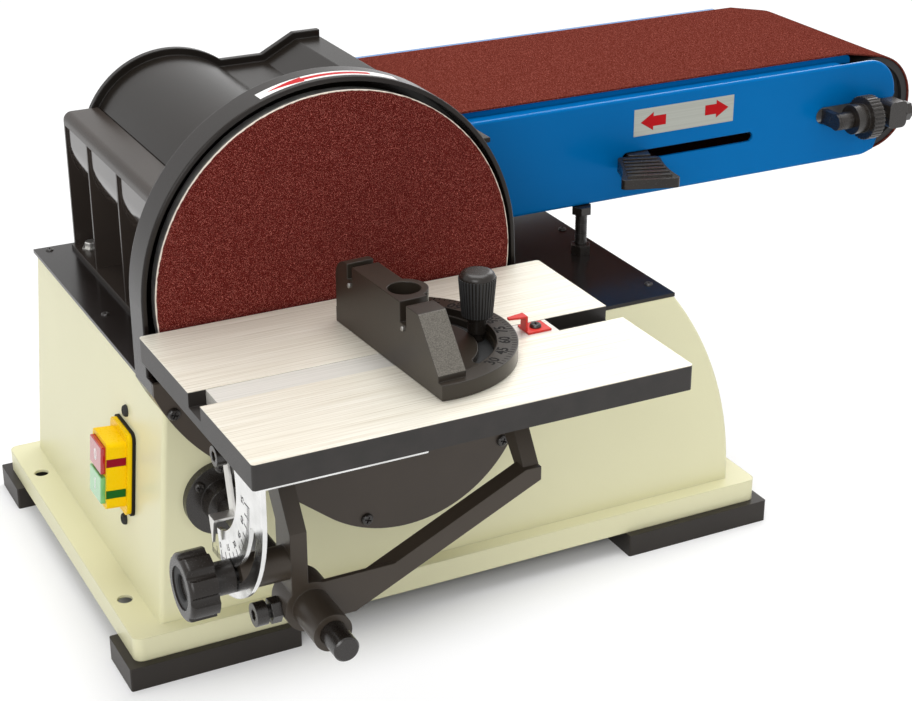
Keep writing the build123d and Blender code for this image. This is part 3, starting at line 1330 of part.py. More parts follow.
with BuildPart() as table_rod:
    with BuildSketch(front_plane(cabinet_front - SHEET)):
        with Locations((ROD_X, ROD_Z)):
            Circle(ROD_RADIUS)
    extrude(amount=cabinet_front - SHEET - ROD_FRONT)
    chamfer(table_rod.faces().sort_by(Axis.Y)[0].edges(), length=SHEET / 2)
table_rod.part.label = "table_rod"
export_step(table_rod.part, "parts/table_rod.step")

# Table bracket: eye and neck on the rod, two arms up to the tilt axis, and the slanted bar between them
bracket_back = BRACKET_FRONT + BRACKET_DEPTH
right_arm = BRACKET_SPAN - BRACKET_LEFT
bar_slope = (BRACKET_CORNER_Z - BRACKET_TOP_Z) / (right_arm - BRACKET_ARM - BRACKET_KNEE_X)
bar_left = BRACKET_KNEE_X - BRACKET_BAR
bar_foot = BRACKET_TOP_Z - BRACKET_BAR
arm_low = BRACKET_CORNER_Z - BRACKET_CORNER
bracket_arms = (
    (-BRACKET_LEFT, ROD_Z, bracket_back),
    (right_arm - BRACKET_ARM, arm_low, BRACKET_FRONT + BRACKET_RIB),
)
stud_y, stud_z = polar((PIVOT_Y, PIVOT_Z), TILT_SLOT_RADIUS, 180 + STUD_ANGLE)
left_lug = -BRACKET_LEFT - LUG - BRACKET_EYE_RADIUS - CLEARANCE
right_lug = right_arm + CLEARANCE + SHEET
with BuildPart() as table_bracket:
    with BuildSketch(front_plane(BRACKET_FRONT + BRACKET_PLATE)):
        Polygon(
            (ROD_X, BRACKET_TOP_Z),
            (BRACKET_KNEE_X, BRACKET_TOP_Z),
            (right_arm - BRACKET_ARM, BRACKET_CORNER_Z),
            (right_arm, BRACKET_CORNER_Z),
            (right_arm, arm_low),
            (bar_left, bar_foot),
            (ROD_X, bar_foot),
            align=None,
        )
    extrude(amount=BRACKET_PLATE)
    with BuildSketch(front_plane(BRACKET_FRONT + BRACKET_RIB)):
        Polygon(
            (bar_left, BRACKET_TOP_Z - BRACKET_BAR * bar_slope),
            (right_arm - BRACKET_ARM, BRACKET_CORNER_Z),
            (right_arm, BRACKET_CORNER_Z),
            (right_arm, arm_low),
            (bar_left, bar_foot),
            align=None,
        )
    extrude(amount=BRACKET_RIB)
    for arm_left, arm_foot, arm_back in bracket_arms:
        with BuildSketch(side_plane(arm_left)):
            Polygon(
                (BRACKET_FRONT, arm_foot),
                (arm_back, arm_foot),
                (arm_back, BRACKET_BEND_Z),
                (PIVOT_Y + BRACKET_EYE_RADIUS, PIVOT_Z),
                (PIVOT_Y - BRACKET_EYE_RADIUS, PIVOT_Z),
                (BRACKET_FRONT, BRACKET_BEND_Z),
                align=None,
            )
            with Locations((PIVOT_Y, PIVOT_Z)):
                Circle(BRACKET_EYE_RADIUS)
        extrude(amount=BRACKET_ARM)
    with BuildSketch(front_plane(bracket_back)):
        with Locations((ROD_X, ROD_Z)):
            Circle(ROD_BOSS_RADIUS)
    extrude(amount=BRACKET_DEPTH)
    with BuildSketch(front_plane(BRACKET_FRONT)):
        with Locations((ROD_X, ROD_Z)):
            Circle(ROD_NECK_RADIUS)
    extrude(amount=BRACKET_FRONT - ROD_BOSS_FRONT)
    with BuildSketch(side_plane(-BRACKET_LEFT)):
        with Locations((stud_y, stud_z)):
            Circle(STUD_BOSS_RADIUS)
    extrude(amount=-STUD_BOSS)
    with BuildSketch(side_plane(-BRACKET_LEFT)):
        with Locations((PIVOT_Y, PIVOT_Z)):
            Circle(BRACKET_BOSS_RADIUS)
    extrude(amount=left_lug + LUG + CLEARANCE + BRACKET_LEFT)
    with BuildSketch(side_plane(right_arm)):
        with Locations((PIVOT_Y, PIVOT_Z)):
            Circle(BRACKET_BOSS_RADIUS)
    extrude(amount=right_lug - right_arm - CLEARANCE)
    with BuildSketch(front_plane(bracket_back)):
        with Locations((ROD_X, ROD_Z)):
            Circle(ROD_RADIUS + RUNNING)
    extrude(amount=bracket_back - ROD_BOSS_FRONT, mode=Mode.SUBTRACT)
    with BuildSketch(side_plane(left_lug)):
        with Locations((PIVOT_Y, PIVOT_Z)):
            Circle(PIVOT_RADIUS + FIT)
    extrude(amount=right_lug + LUG - left_lug, mode=Mode.SUBTRACT)
    with BuildSketch(side_plane(quadrant_right)):
        with Locations((stud_y, stud_z)):
            Circle(STUD_RADIUS + RUNNING)
    extrude(amount=STUD_BOSS, mode=Mode.SUBTRACT)
    with BuildSketch(side_plane(ROD_X - 2 * ROD_BOSS_RADIUS)):
        with Locations((CLAMP_Y, CLAMP_Z)):
            Circle(CLAMP_RADIUS + FIT)
    extrude(amount=2 * ROD_BOSS_RADIUS, mode=Mode.SUBTRACT)
table_bracket.part.label = "table_bracket"
export_step(table_bracket.part, "parts/table_bracket.step")

# Clamp screw and lock nut that fix the bracket on the rod
clamp_tip = ROD_X - ROD_RADIUS - CLEARANCE
with BuildPart() as clamp_screw:
    with BuildSketch(side_plane(clamp_tip - CLAMP_LENGTH)):
        with Locations((CLAMP_Y, CLAMP_Z)):
            Circle(CLAMP_RADIUS)
    extrude(amount=CLAMP_LENGTH)
    with BuildSketch(side_plane(clamp_tip - CLAMP_LENGTH)):
        with Locations((CLAMP_Y, CLAMP_Z)):
            Circle(CLAMP_HEAD_RADIUS)
    extrude(amount=-CLAMP_HEAD)
    with BuildSketch(side_plane(clamp_tip - CLAMP_LENGTH - CLAMP_HEAD)):
        with Locations((CLAMP_Y, CLAMP_Z)):
            RegularPolygon(CLAMP_SOCKET_RADIUS, 6)
    extrude(amount=CLAMP_SOCKET, mode=Mode.SUBTRACT)
clamp_screw.part.label = "clamp_screw"
export_step(clamp_screw.part, "parts/clamp_screw.step")

with BuildPart() as clamp_nut:
    with BuildSketch(side_plane(ROD_X - ROD_BOSS_RADIUS - CLAMP_NUT)):
        with Locations((CLAMP_Y, CLAMP_Z)):
            RegularPolygon(CLAMP_HEX, 6)
            Circle(CLAMP_RADIUS + FIT, mode=Mode.SUBTRACT)
    extrude(amount=CLAMP_NUT)
clamp_nut.part.label = "clamp_nut"
export_step(clamp_nut.part, "parts/clamp_nut.step")

# Pivot bolts: socket heads outside the table's lugs, shanks through lugs and bracket arms
head_right = left_lug - CLEARANCE - POINTER
with BuildPart() as left_pivot_bolt:
    with BuildSketch(side_plane(head_right)):
        with Locations((PIVOT_Y, PIVOT_Z)):
            Circle(PIVOT_RADIUS)
    extrude(amount=BRACKET_ARM - BRACKET_LEFT - head_right)
    with BuildSketch(side_plane(head_right)):
        with Locations((PIVOT_Y, PIVOT_Z)):
            Circle(PIVOT_HEAD_RADIUS)
    extrude(amount=-PIVOT_HEAD)
    with BuildSketch(side_plane(head_right - PIVOT_HEAD)):
        with Locations((PIVOT_Y, PIVOT_Z)):
            RegularPolygon(PIVOT_SOCKET_RADIUS, 6)
    extrude(amount=PIVOT_SOCKET, mode=Mode.SUBTRACT)
left_pivot_bolt.part.label = "left_pivot_bolt"
export_step(left_pivot_bolt.part, "parts/left_pivot_bolt.step")

head_left = right_lug + LUG + CLEARANCE
with BuildPart() as right_pivot_bolt:
    with BuildSketch(side_plane(head_left)):
        with Locations((PIVOT_Y, PIVOT_Z)):
            Circle(PIVOT_RADIUS)
    extrude(amount=right_arm - BRACKET_ARM - head_left)
    with BuildSketch(side_plane(head_left)):
        with Locations((PIVOT_Y, PIVOT_Z)):
            Circle(PIVOT_HEAD_RADIUS)
    extrude(amount=PIVOT_HEAD)
    with BuildSketch(side_plane(head_left + PIVOT_HEAD)):
        with Locations((PIVOT_Y, PIVOT_Z)):
            RegularPolygon(PIVOT_SOCKET_RADIUS, 6)
    extrude(amount=-PIVOT_SOCKET, mode=Mode.SUBTRACT)
right_pivot_bolt.part.label = "right_pivot_bolt"
export_step(right_pivot_bolt.part, "parts/right_pivot_bolt.step")

# Tilt pointer: strip that hangs from the pivot bolt, steps out past the quadrant and ends in a point
pointer_turn = radians(POINTER_LEAN)
pointer_x = head_right + POINTER
pointer_knee = (PIVOT_Y - POINTER_DROP * sin(pointer_turn), PIVOT_Z - POINTER_DROP * cos(pointer_turn))
pointer_out = quadrant_left - POINTER_STEP
half_strip = POINTER_WIDTH / 2
with BuildPart() as tilt_pointer:
    with BuildSketch(side_plane(pointer_x)):
        with Locations((PIVOT_Y, PIVOT_Z)):
            Circle(PIVOT_HEAD_RADIUS)
        Polygon(
            (PIVOT_Y - half_strip, PIVOT_Z),
            (PIVOT_Y + half_strip, PIVOT_Z),
            (pointer_knee[0] + half_strip, pointer_knee[1]),
            (pointer_knee[0] - half_strip, pointer_knee[1]),
            align=None,
        )
        with Locations((PIVOT_Y, PIVOT_Z)):
            Circle(PIVOT_RADIUS + FIT, mode=Mode.SUBTRACT)
    extrude(amount=-POINTER)
    with BuildSketch(level_plane(pointer_knee[1])):
        with Locations((pointer_x, pointer_knee[0])):
            Rectangle(pointer_x - pointer_out, POINTER_WIDTH, align=(Align.MAX, Align.CENTER))
    extrude(amount=POINTER)
    with BuildSketch(side_plane(pointer_out)):
        Polygon(
            (pointer_knee[0] - half_strip, pointer_knee[1] + POINTER),
            (pointer_knee[0] + half_strip, pointer_knee[1] + POINTER),
            (pointer_knee[0] + POINTER / 4, pointer_knee[1] - POINTER_TIP),
            (pointer_knee[0] - POINTER / 4, pointer_knee[1] - POINTER_TIP),
            align=None,
        )
    extrude(amount=POINTER)
tilt_pointer.part.label = "tilt_pointer"
export_step(tilt_pointer.part, "parts/tilt_pointer.step")

# Table: casting with a mitre slot, ribs below, two tilt lugs and a pad for the quadrant
table_mid_x = TABLE_WIDTH / 2 - TABLE_LEFT
table_mid_y = -TABLE_GAP - TABLE_DEPTH / 2
pad_front = QUADRANT_FRONT - QUADRANT
lug_offsets = (left_lug, right_lug)
with BuildPart() as table_top:
    with BuildSketch(level_plane(table_bottom)):
        with Locations((table_mid_x, table_mid_y)):
            Rectangle(TABLE_WIDTH, TABLE_DEPTH)
    extrude(amount=TABLE)
    fillet(table_top.edges().filter_by(Axis.Z), radius=SHEET)
    with BuildSketch(level_plane(TABLE_TOP)):
        with Locations((table_mid_x, SLOT_Y)):
            Rectangle(TABLE_WIDTH, SLOT_WIDTH)
    extrude(amount=-SLOT_DEPTH, mode=Mode.SUBTRACT)
    with BuildSketch(level_plane(table_bottom)):
        with Locations((table_mid_x, table_mid_y)):
            Rectangle(TABLE_WIDTH - 2 * TABLE_EDGE, TABLE_DEPTH - 2 * TABLE_EDGE)
            Rectangle(
                TABLE_WIDTH - 2 * TABLE_EDGE - 2 * TABLE_RIB_WIDTH,
                TABLE_DEPTH - 2 * TABLE_EDGE - 2 * TABLE_RIB_WIDTH,
                mode=Mode.SUBTRACT,
            )
        with Locations((table_mid_x, table_mid_y)):
            Rectangle(TABLE_RIB_WIDTH, TABLE_DEPTH - 2 * TABLE_EDGE)
        with Locations((quadrant_left, pad_front)):
            Rectangle(QUADRANT_FLANGE, QUADRANT_FLANGE_WIDTH + QUADRANT, align=(Align.MIN, Align.MIN))
    extrude(amount=-TABLE_RIB)
    for lug_left in lug_offsets:
        with BuildSketch(side_plane(lug_left)):
            with Locations((PIVOT_Y, table_bottom)):
                Rectangle(2 * LUG_RADIUS, table_bottom - PIVOT_Z, align=(Align.CENTER, Align.MAX))
            with Locations((PIVOT_Y, PIVOT_Z)):
                Circle(LUG_RADIUS)
                Circle(PIVOT_RADIUS + RUNNING, mode=Mode.SUBTRACT)
        extrude(amount=LUG)
table_top.part.label = "table_top"
export_step(table_top.part, "parts/table_top.step")

# Quadrant: plated sheet under the table with a curved clamp slot about the tilt axis
pivot = (PIVOT_Y, PIVOT_Z)
flange_bottom = rib_bottom - QUADRANT
outer_knee = 180 + degrees(acos((PIVOT_Y - QUADRANT_FRONT) / QUADRANT_RADIUS))
inner_knee = 180 - degrees(asin((flange_bottom - PIVOT_Z) / QUADRANT_INNER))
quadrant_end = 180 + QUADRANT_END
slot_start = 180 + STUD_ANGLE - TILT_RANGE - TILT_SLOT_MARGIN
tilt_line = CenterArc(pivot, TILT_SLOT_RADIUS, slot_start, TILT_RANGE + 2 * TILT_SLOT_MARGIN)
with BuildPart() as table_quadrant:
    with BuildSketch(side_plane(quadrant_left)):
        with BuildLine():
            ThreePointArc(
                polar(pivot, QUADRANT_RADIUS, quadrant_end),
                polar(pivot, QUADRANT_RADIUS, (quadrant_end + outer_knee) / 2),
                polar(pivot, QUADRANT_RADIUS, outer_knee),
            )
            Polyline(
                polar(pivot, QUADRANT_RADIUS, outer_knee),
                (QUADRANT_FRONT, rib_bottom),
                (polar(pivot, QUADRANT_INNER, inner_knee)[0], rib_bottom),
                polar(pivot, QUADRANT_INNER, inner_knee),
            )
            ThreePointArc(
                polar(pivot, QUADRANT_INNER, inner_knee),
                polar(pivot, QUADRANT_INNER, (inner_knee + quadrant_end) / 2),
                polar(pivot, QUADRANT_INNER, quadrant_end),
            )
            Line(polar(pivot, QUADRANT_INNER, quadrant_end), polar(pivot, QUADRANT_RADIUS, quadrant_end))
        make_face()
        SlotArc(tilt_line, TILT_SLOT_WIDTH, mode=Mode.SUBTRACT)
    extrude(amount=QUADRANT)
    with BuildSketch(level_plane(flange_bottom)):
        with Locations((quadrant_left, QUADRANT_FRONT)):
            Rectangle(QUADRANT_FLANGE, QUADRANT_FLANGE_WIDTH, align=(Align.MIN, Align.MIN))
    extrude(amount=QUADRANT)
table_quadrant.part.label = "table_quadrant"
export_step(table_quadrant.part, "parts/table_quadrant.step")

# Tilt knob with its collar, and the stud that runs through the quadrant's slot into the bracket
with BuildPart() as tilt_knob:
    with BuildSketch(side_plane(knob_left)):
        with Locations((stud_y, stud_z)):
            Circle(KNOB_RADIUS)
    extrude(amount=KNOB_LENGTH)
    fillet(tilt_knob.faces().sort_by(Axis.X)[0].edges(), radius=KNOB_ROUND)
    with BuildSketch(side_plane(knob_left)):
        with Locations((stud_y, stud_z)):
            with PolarLocations(KNOB_RADIUS + KNOB_FLUTE_RADIUS / 2, KNOB_FLUTES):
                Circle(KNOB_FLUTE_RADIUS)
    extrude(amount=KNOB_LENGTH, mode=Mode.SUBTRACT)
    with BuildSketch(side_plane(knob_left)):
        with Locations((stud_y, stud_z)):
            Circle(KNOB_DISH_RADIUS)
    extrude(amount=KNOB_DISH, mode=Mode.SUBTRACT)
    with BuildSketch(side_plane(knob_right)):
        with Locations((stud_y, stud_z)):
            Circle(KNOB_COLLAR_RADIUS)
    extrude(amount=KNOB_COLLAR)
tilt_knob.part.label = "tilt_knob"
export_step(tilt_knob.part, "parts/tilt_knob.step")

stud_left = knob_right + KNOB_COLLAR
with BuildPart() as knob_stud:
    with BuildSketch(side_plane(stud_left)):
        with Locations((stud_y, stud_z)):
            Circle(STUD_RADIUS)
    extrude(amount=STUD_BOSS + QUADRANT + CLEARANCE)
knob_stud.part.label = "knob_stud"
export_step(knob_stud.part, "parts/knob_stud.step")

# Mitre bar in the table's slot, with its swivel pin, and the red pointer on its right end
bar_top = TABLE_TOP - CLEARANCE
bar_bottom = TABLE_TOP - SLOT_DEPTH + CLEARANCE
head_bottom = TABLE_TOP + CLEARANCE
head_top = head_bottom + MITRE_PLATE
with BuildPart() as mitre_bar:
    with BuildSketch(level_plane(bar_bottom)):
        with Locations((MITRE_BAR_LEFT, SLOT_Y)):
            Rectangle(
                MITRE_BAR_RIGHT - MITRE_BAR_LEFT,
                SLOT_WIDTH - 2 * CLEARANCE,
                align=(Align.MIN, Align.CENTER),
            )
        with Locations((MITRE_X + MITRE_SLOT_RADIUS, SLOT_Y)):
            Circle(MITRE_STUD_RADIUS + RUNNING, mode=Mode.SUBTRACT)
    extrude(amount=bar_top - bar_bottom)
    with BuildSketch(level_plane(bar_top)):
        with Locations((MITRE_X, SLOT_Y)):
            Circle(SWIVEL_PIN_RADIUS)
    extrude(amount=head_top - bar_top)
mitre_bar.part.label = "mitre_bar"
export_step(mitre_bar.part, "parts/mitre_bar.step")

pointer_foot = MITRE_BAR_RIGHT - RED_POINTER_INSET - RED_POINTER_FOOT
pointer_rise_top = bar_top + RED_POINTER_RISE
with BuildPart() as mitre_pointer:
    with BuildSketch(level_plane(bar_top)):
        with Locations((pointer_foot, SLOT_Y)):
            Rectangle(RED_POINTER_FOOT, RED_POINTER_WIDTH, align=(Align.MIN, Align.CENTER))
    extrude(amount=RED_POINTER)
    with BuildSketch(side_plane(pointer_foot)):
        with Locations((SLOT_Y, bar_top)):
            Rectangle(RED_POINTER_WIDTH / 2, RED_POINTER_RISE, align=(Align.CENTER, Align.MIN))
    extrude(amount=RED_POINTER)
    with BuildSketch(level_plane(pointer_rise_top)):
        Polygon(
            (pointer_foot + RED_POINTER, SLOT_Y - RED_POINTER_WIDTH / 4),
            (pointer_foot + RED_POINTER, SLOT_Y + RED_POINTER_WIDTH / 4),
            (pointer_foot - RED_POINTER_TIP, SLOT_Y + RED_POINTER),
            (pointer_foot - RED_POINTER_TIP, SLOT_Y - RED_POINTER),
            align=None,
        )
    extrude(amount=-RED_POINTER)
mitre_pointer.part.label = "mitre_pointer"
export_step(mitre_pointer.part, "parts/mitre_pointer.step")

# Mitre head: dished half-round protractor with an arc slot, and the grooved fence with its rod boss
mitre_turn = radians(MITRE_REST)
mitre_across = Vector(cos(mitre_turn), sin(mitre_turn), 0)
mitre_along = Vector(-sin(mitre_turn), cos(mitre_turn), 0)
swivel_axis = Vector(axis_x + MITRE_X, face_y + SLOT_Y, AXIS_HEIGHT)
face_origin = swivel_axis - mitre_across * FENCE_FACE
fence_plane = Plane(origin=face_origin, x_dir=mitre_along, z_dir=mitre_across)
dish_floor = head_top - MITRE_DISH
fence_top = head_bottom + FENCE_HEIGHT
round_centre = (FENCE_REAR - FENCE_ROUND, fence_top - FENCE_ROUND)
swivel_half = MITRE_SWIVEL + MITRE_SLOT_MARGIN
swivel_line = CenterArc((0, 0), MITRE_SLOT_RADIUS, -swivel_half, 2 * swivel_half)


def mitre_plane(z):
    """Level plane on the swivel axis, turned with the mitre head."""
    return Plane(origin=swivel_axis + Vector(0, 0, z), x_dir=mitre_across, z_dir=(0, 0, 1))


with BuildPart() as mitre_head:
    with BuildSketch(mitre_plane(head_bottom)):
        Circle(MITRE_RADIUS)
        with Locations((-FENCE_FACE, 0)):
            Rectangle(MITRE_RADIUS, 2 * MITRE_RADIUS, align=(Align.MAX, Align.CENTER), mode=Mode.SUBTRACT)
    extrude(amount=MITRE_PLATE)
    with BuildSketch(mitre_plane(head_top)):
        Circle(MITRE_DISH_RADIUS)
    extrude(amount=-MITRE_DISH, mode=Mode.SUBTRACT)
    with BuildSketch(mitre_plane(head_bottom)):
        SlotArc(swivel_line, MITRE_SLOT_WIDTH)
    extrude(amount=MITRE_PLATE, mode=Mode.SUBTRACT)
    with BuildSketch(fence_plane):
        with BuildLine():
            Polyline((FENCE_REAR, head_bottom), (FENCE_REAR, round_centre[1]))
            ThreePointArc(
                (FENCE_REAR, round_centre[1]),
                polar(round_centre, FENCE_ROUND, 45),
                (round_centre[0], fence_top),
            )
            Polyline(
                (round_centre[0], fence_top),
                (REAR_GROOVE + REAR_GROOVE_WIDTH, fence_top),
                (REAR_GROOVE + REAR_GROOVE_WIDTH, fence_top - REAR_GROOVE_DEPTH),
                (REAR_GROOVE, fence_top - REAR_GROOVE_DEPTH),
                (REAR_GROOVE, fence_top),
                (FRONT_GROOVE_WIDTH - FRONT_GROOVE, fence_top),
                (FRONT_GROOVE_WIDTH - FRONT_GROOVE, fence_top - FRONT_GROOVE_DEPTH),
                (-FRONT_GROOVE, fence_top - FRONT_GROOVE_DEPTH),
                (-FRONT_GROOVE, fence_top),
                (-FENCE_RAMP, fence_top),
                (-FENCE_FRONT, head_bottom + FENCE_TOE),
                (-FENCE_FRONT, head_bottom),
                (FENCE_REAR, head_bottom),
            )
        make_face()
    extrude(amount=FENCE_THICK)
    with BuildSketch(mitre_plane(fence_top)):
        Circle(FENCE_BOSS_RADIUS)
        with Locations((-FENCE_FACE, 0)):
            Rectangle(MITRE_RADIUS, 2 * MITRE_RADIUS, align=(Align.MAX, Align.CENTER), mode=Mode.SUBTRACT)
    extrude(amount=-FENCE_HEIGHT)
    with BuildSketch(mitre_plane(fence_top)):
        Circle(FENCE_BOSS_HOLE)
    extrude(amount=-FENCE_BOSS_DEPTH, mode=Mode.SUBTRACT)
    with BuildSketch(mitre_plane(head_bottom)):
        Circle(SWIVEL_PIN_RADIUS + RUNNING)
    extrude(amount=MITRE_PLATE + CLEARANCE, mode=Mode.SUBTRACT)
mitre_head.part.label = "mitre_head"
export_step(mitre_head.part, "parts/mitre_head.step")

# Mitre knob: tapered grip with a stud through the arc slot into the bar
knob_x = MITRE_X + MITRE_SLOT_RADIUS
collar_bottom = dish_floor + CLEARANCE
grip_bottom = collar_bottom + MITRE_COLLAR
with BuildPart() as mitre_knob:
    with BuildSketch(level_plane(bar_bottom)):
        with Locations((knob_x, SLOT_Y)):
            Circle(MITRE_STUD_RADIUS)
    extrude(amount=collar_bottom - bar_bottom)
    with BuildSketch(level_plane(collar_bottom)):
        with Locations((knob_x, SLOT_Y)):
            Circle(MITRE_COLLAR_RADIUS)
    extrude(amount=MITRE_COLLAR)
    with BuildSketch(level_plane(grip_bottom)):
        with Locations((knob_x, SLOT_Y)):
            Circle(MITRE_KNOB_FOOT)
    with BuildSketch(level_plane(grip_bottom + MITRE_KNOB)):
        with Locations((knob_x, SLOT_Y)):
            Circle(MITRE_KNOB_RADIUS)
    loft()
    fillet(mitre_knob.faces().sort_by(Axis.Z)[-1].edges(), radius=MITRE_KNOB_DOME)
mitre_knob.part.label = "mitre_knob"
export_step(mitre_knob.part, "parts/mitre_knob.step")
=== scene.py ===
# %% [markdown]
# # Dressing a belt and disc sander
#
# The CAD model already holds every solid of the machine, in metres, in one shared frame. This lesson loads it,
# puts a camera where the photographer stood, and gives each surface the finish that it has in the workshop.
# Shapes stay with the CAD model, but for one moulding and two small castings. Blender adds what is too fine for
# it: screws, engraved scales, arrows and grit.

# %% Load the frame
import json
from math import cos, pi, radians, sin

import bmesh
import bpy
from mathutils import Matrix, Vector


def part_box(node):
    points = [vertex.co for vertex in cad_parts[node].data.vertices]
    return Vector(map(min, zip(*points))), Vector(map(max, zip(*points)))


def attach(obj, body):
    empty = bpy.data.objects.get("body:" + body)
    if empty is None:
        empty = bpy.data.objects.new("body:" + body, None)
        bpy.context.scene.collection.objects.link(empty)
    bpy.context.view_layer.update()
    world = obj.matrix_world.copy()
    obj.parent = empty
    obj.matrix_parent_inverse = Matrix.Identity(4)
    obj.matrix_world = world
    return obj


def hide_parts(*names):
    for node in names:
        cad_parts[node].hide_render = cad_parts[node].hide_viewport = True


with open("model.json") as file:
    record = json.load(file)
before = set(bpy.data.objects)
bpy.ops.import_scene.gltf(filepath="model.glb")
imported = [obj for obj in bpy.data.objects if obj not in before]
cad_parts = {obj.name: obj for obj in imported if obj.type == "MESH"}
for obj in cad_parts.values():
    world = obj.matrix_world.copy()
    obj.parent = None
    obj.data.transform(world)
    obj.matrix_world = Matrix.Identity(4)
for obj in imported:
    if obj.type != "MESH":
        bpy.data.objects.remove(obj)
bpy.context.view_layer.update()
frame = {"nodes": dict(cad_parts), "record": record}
nodes = frame["nodes"]

# %% [markdown]
# The designer measured everything from the centre of the sanding disc, so this file does too. A helper turns such a
# place, in millimetres, into the frame's metres, and the disc's own box says where the centre is.

# %% Places counted from the disc
disc_low, disc_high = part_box("abrasive_disc")
DISC_CENTRE = Vector(((disc_low.x + disc_high.x) / 2, disc_low.y, (disc_low.z + disc_high.z) / 2))


def place(x, y, z):
    """A point in millimetres from the disc's centre: right, back and up."""
    return DISC_CENTRE + Vector((x, y, z)) / 1000


print("disc centre", [round(value, 4) for value in DISC_CENTRE])

# %% [markdown]
# The camera was worked out from straight edges of the base and the table and from the round edge of the disc, so the
# render lies over the photograph. A long lens far away keeps the machine's lines nearly parallel.

# %% Camera
PHOTO_WIDTH = 912
FOCAL_PIXELS = 1907.2
SENSOR_WIDTH = 36
CAMERA_PLACE = (-414.9, -966.1, 429.2)
TURN, DIP = 0.4715, -0.4269


def put(name, data):
    """A new object in the scene."""
    thing = bpy.data.objects.new(name, data)
    bpy.context.scene.collection.objects.link(thing)
    return thing


lens = bpy.data.cameras.new("camera")
lens.sensor_fit = "HORIZONTAL"
lens.sensor_width = SENSOR_WIDTH
lens.lens = FOCAL_PIXELS / PHOTO_WIDTH * SENSOR_WIDTH
lens.clip_end = 20
camera = put("camera", lens)
camera.location = place(*CAMERA_PLACE)
camera.rotation_euler = (pi / 2 + DIP, 0, -TURN)
bpy.context.scene.camera = camera
bpy.context.scene.view_settings.view_transform = "Standard"
print("lens", round(lens.lens, 2), "mm")

# %% [markdown]
# Floor, finishes and repeated pieces are all made of nodes, so helpers for nodes come first: one that fills inputs,
# and the sums, ramps, mixes and noises that most trees need. Patterns read Object coordinates, which are metres in
# the shared frame, so they have their true size everywhere.

# %% Helpers for nodes
def feed(node, inputs):
    """Fills inputs of a node: a link where a socket is given, a plain value otherwise."""
    for title, value in inputs.items():
        if isinstance(value, bpy.types.NodeSocket):
            node.id_data.links.new(value, node.inputs[title])
        else:
            node.inputs[title].default_value = value
    return node


def add_node(tree, kind, inputs):
    """A new node with its inputs filled."""
    return feed(tree.nodes.new(kind), inputs)


def arithmetic(tree, operation, *terms):
    """One sum of numbers, each a socket or a value."""
    node = tree.nodes.new("ShaderNodeMath")
    node.operation = operation
    return feed(node, dict(enumerate(terms))).outputs[0]


def vector_sum(tree, operation, *terms):
    """One sum of vectors; a product or a length comes out as a value."""
    node = tree.nodes.new("ShaderNodeVectorMath")
    node.operation = operation
    outputs = feed(node, dict(enumerate(terms))).outputs
    return outputs["Value" if operation in ("DOT_PRODUCT", "LENGTH") else "Vector"]


def noise(tree, vector, scale, detail):
    """A noise texture; its scale may be a socket."""
    inputs = {"Vector": vector, "Scale": scale, "Detail": detail}
    return add_node(tree, "ShaderNodeTexNoise", inputs).outputs["Fac"]


def ramp(tree, value, low, high, bottom=0.0, top=1.0, way="LINEAR"):
    """Stretches low..high to bottom..top and cuts off the rest."""
    inputs = {"Value": value, "From Min": low, "From Max": high, "To Min": bottom, "To Max": top}
    node = add_node(tree, "ShaderNodeMapRange", inputs)
    node.interpolation_type = way
    return node.outputs["Result"]


def blend_colours(tree, share, first, second):
    """Mixes two colours, each a socket or four numbers."""
    mixer = tree.nodes.new("ShaderNodeMix")
    mixer.data_type = "RGBA"
    return feed(mixer, {"Factor": share, 6: first, 7: second}).outputs[2]


def here(tree):
    """Object coordinates, in metres."""
    return tree.nodes.new("ShaderNodeTexCoord").outputs["Object"]


print("helpers ready")

# %% [markdown]
# A product photograph stands on a large sheet of white paper under soft lamps. For the eye of the camera, and for
# anything that mirrors it, the paper partly glows, so it turns white while the machine keeps its shadow. Under the
# base the glow fades out, and there the paper's own colour is painted dark as painted shade, where no lamp reaches,
# so bolt holes look black. The world does the same as the floor: it lights the object gently, and it looks white.

# %% Floor
FLOOR_SIZE = 8.0
FLOOR_GLOW, GLOW_STRENGTH = 0.82, 1.12
FADE_INSIDE, FADE_OUTSIDE = 0.03, 0.07
# Painted shade: well inside the base's outline, the paper's colour is ramped down to a dark tone.
SHADE_PAINT_FROM, SHADE_PAINT_TO = -0.045, -0.02
PAINTED_SHADE_PAPER, PALE_PAPER = 0.02, 0.86


def seen_rays(tree):
    """A socket that is 1 for rays from the camera, a mirror or glass."""
    path = tree.nodes.new("ShaderNodeLightPath").outputs
    either = arithmetic(tree, "MAXIMUM", path["Is Camera Ray"], path["Is Glossy Ray"])
    return arithmetic(tree, "MAXIMUM", either, path["Is Transmission Ray"])


half = FLOOR_SIZE / 2
corners = [(-half, -half, 0), (half, -half, 0), (half, half, 0), (-half, half, 0)]
floor_mesh = bpy.data.meshes.new("floor")
floor_mesh.from_pydata(corners, [], [(0, 1, 2, 3)])
floor = put("floor", floor_mesh)
paper = bpy.data.materials.new("studio_paper")
paper.use_nodes = True
tree = paper.node_tree
tree.nodes.clear()
base_low, base_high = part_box("cabinet")
apart = vector_sum(tree, "SUBTRACT", here(tree), (base_low + base_high) / 2)
beyond = vector_sum(tree, "SUBTRACT", vector_sum(tree, "ABSOLUTE", apart), (base_high - base_low) / 2)
sides = add_node(tree, "ShaderNodeSeparateXYZ", {0: beyond}).outputs
outside = arithmetic(tree, "MAXIMUM", sides["X"], sides["Y"])
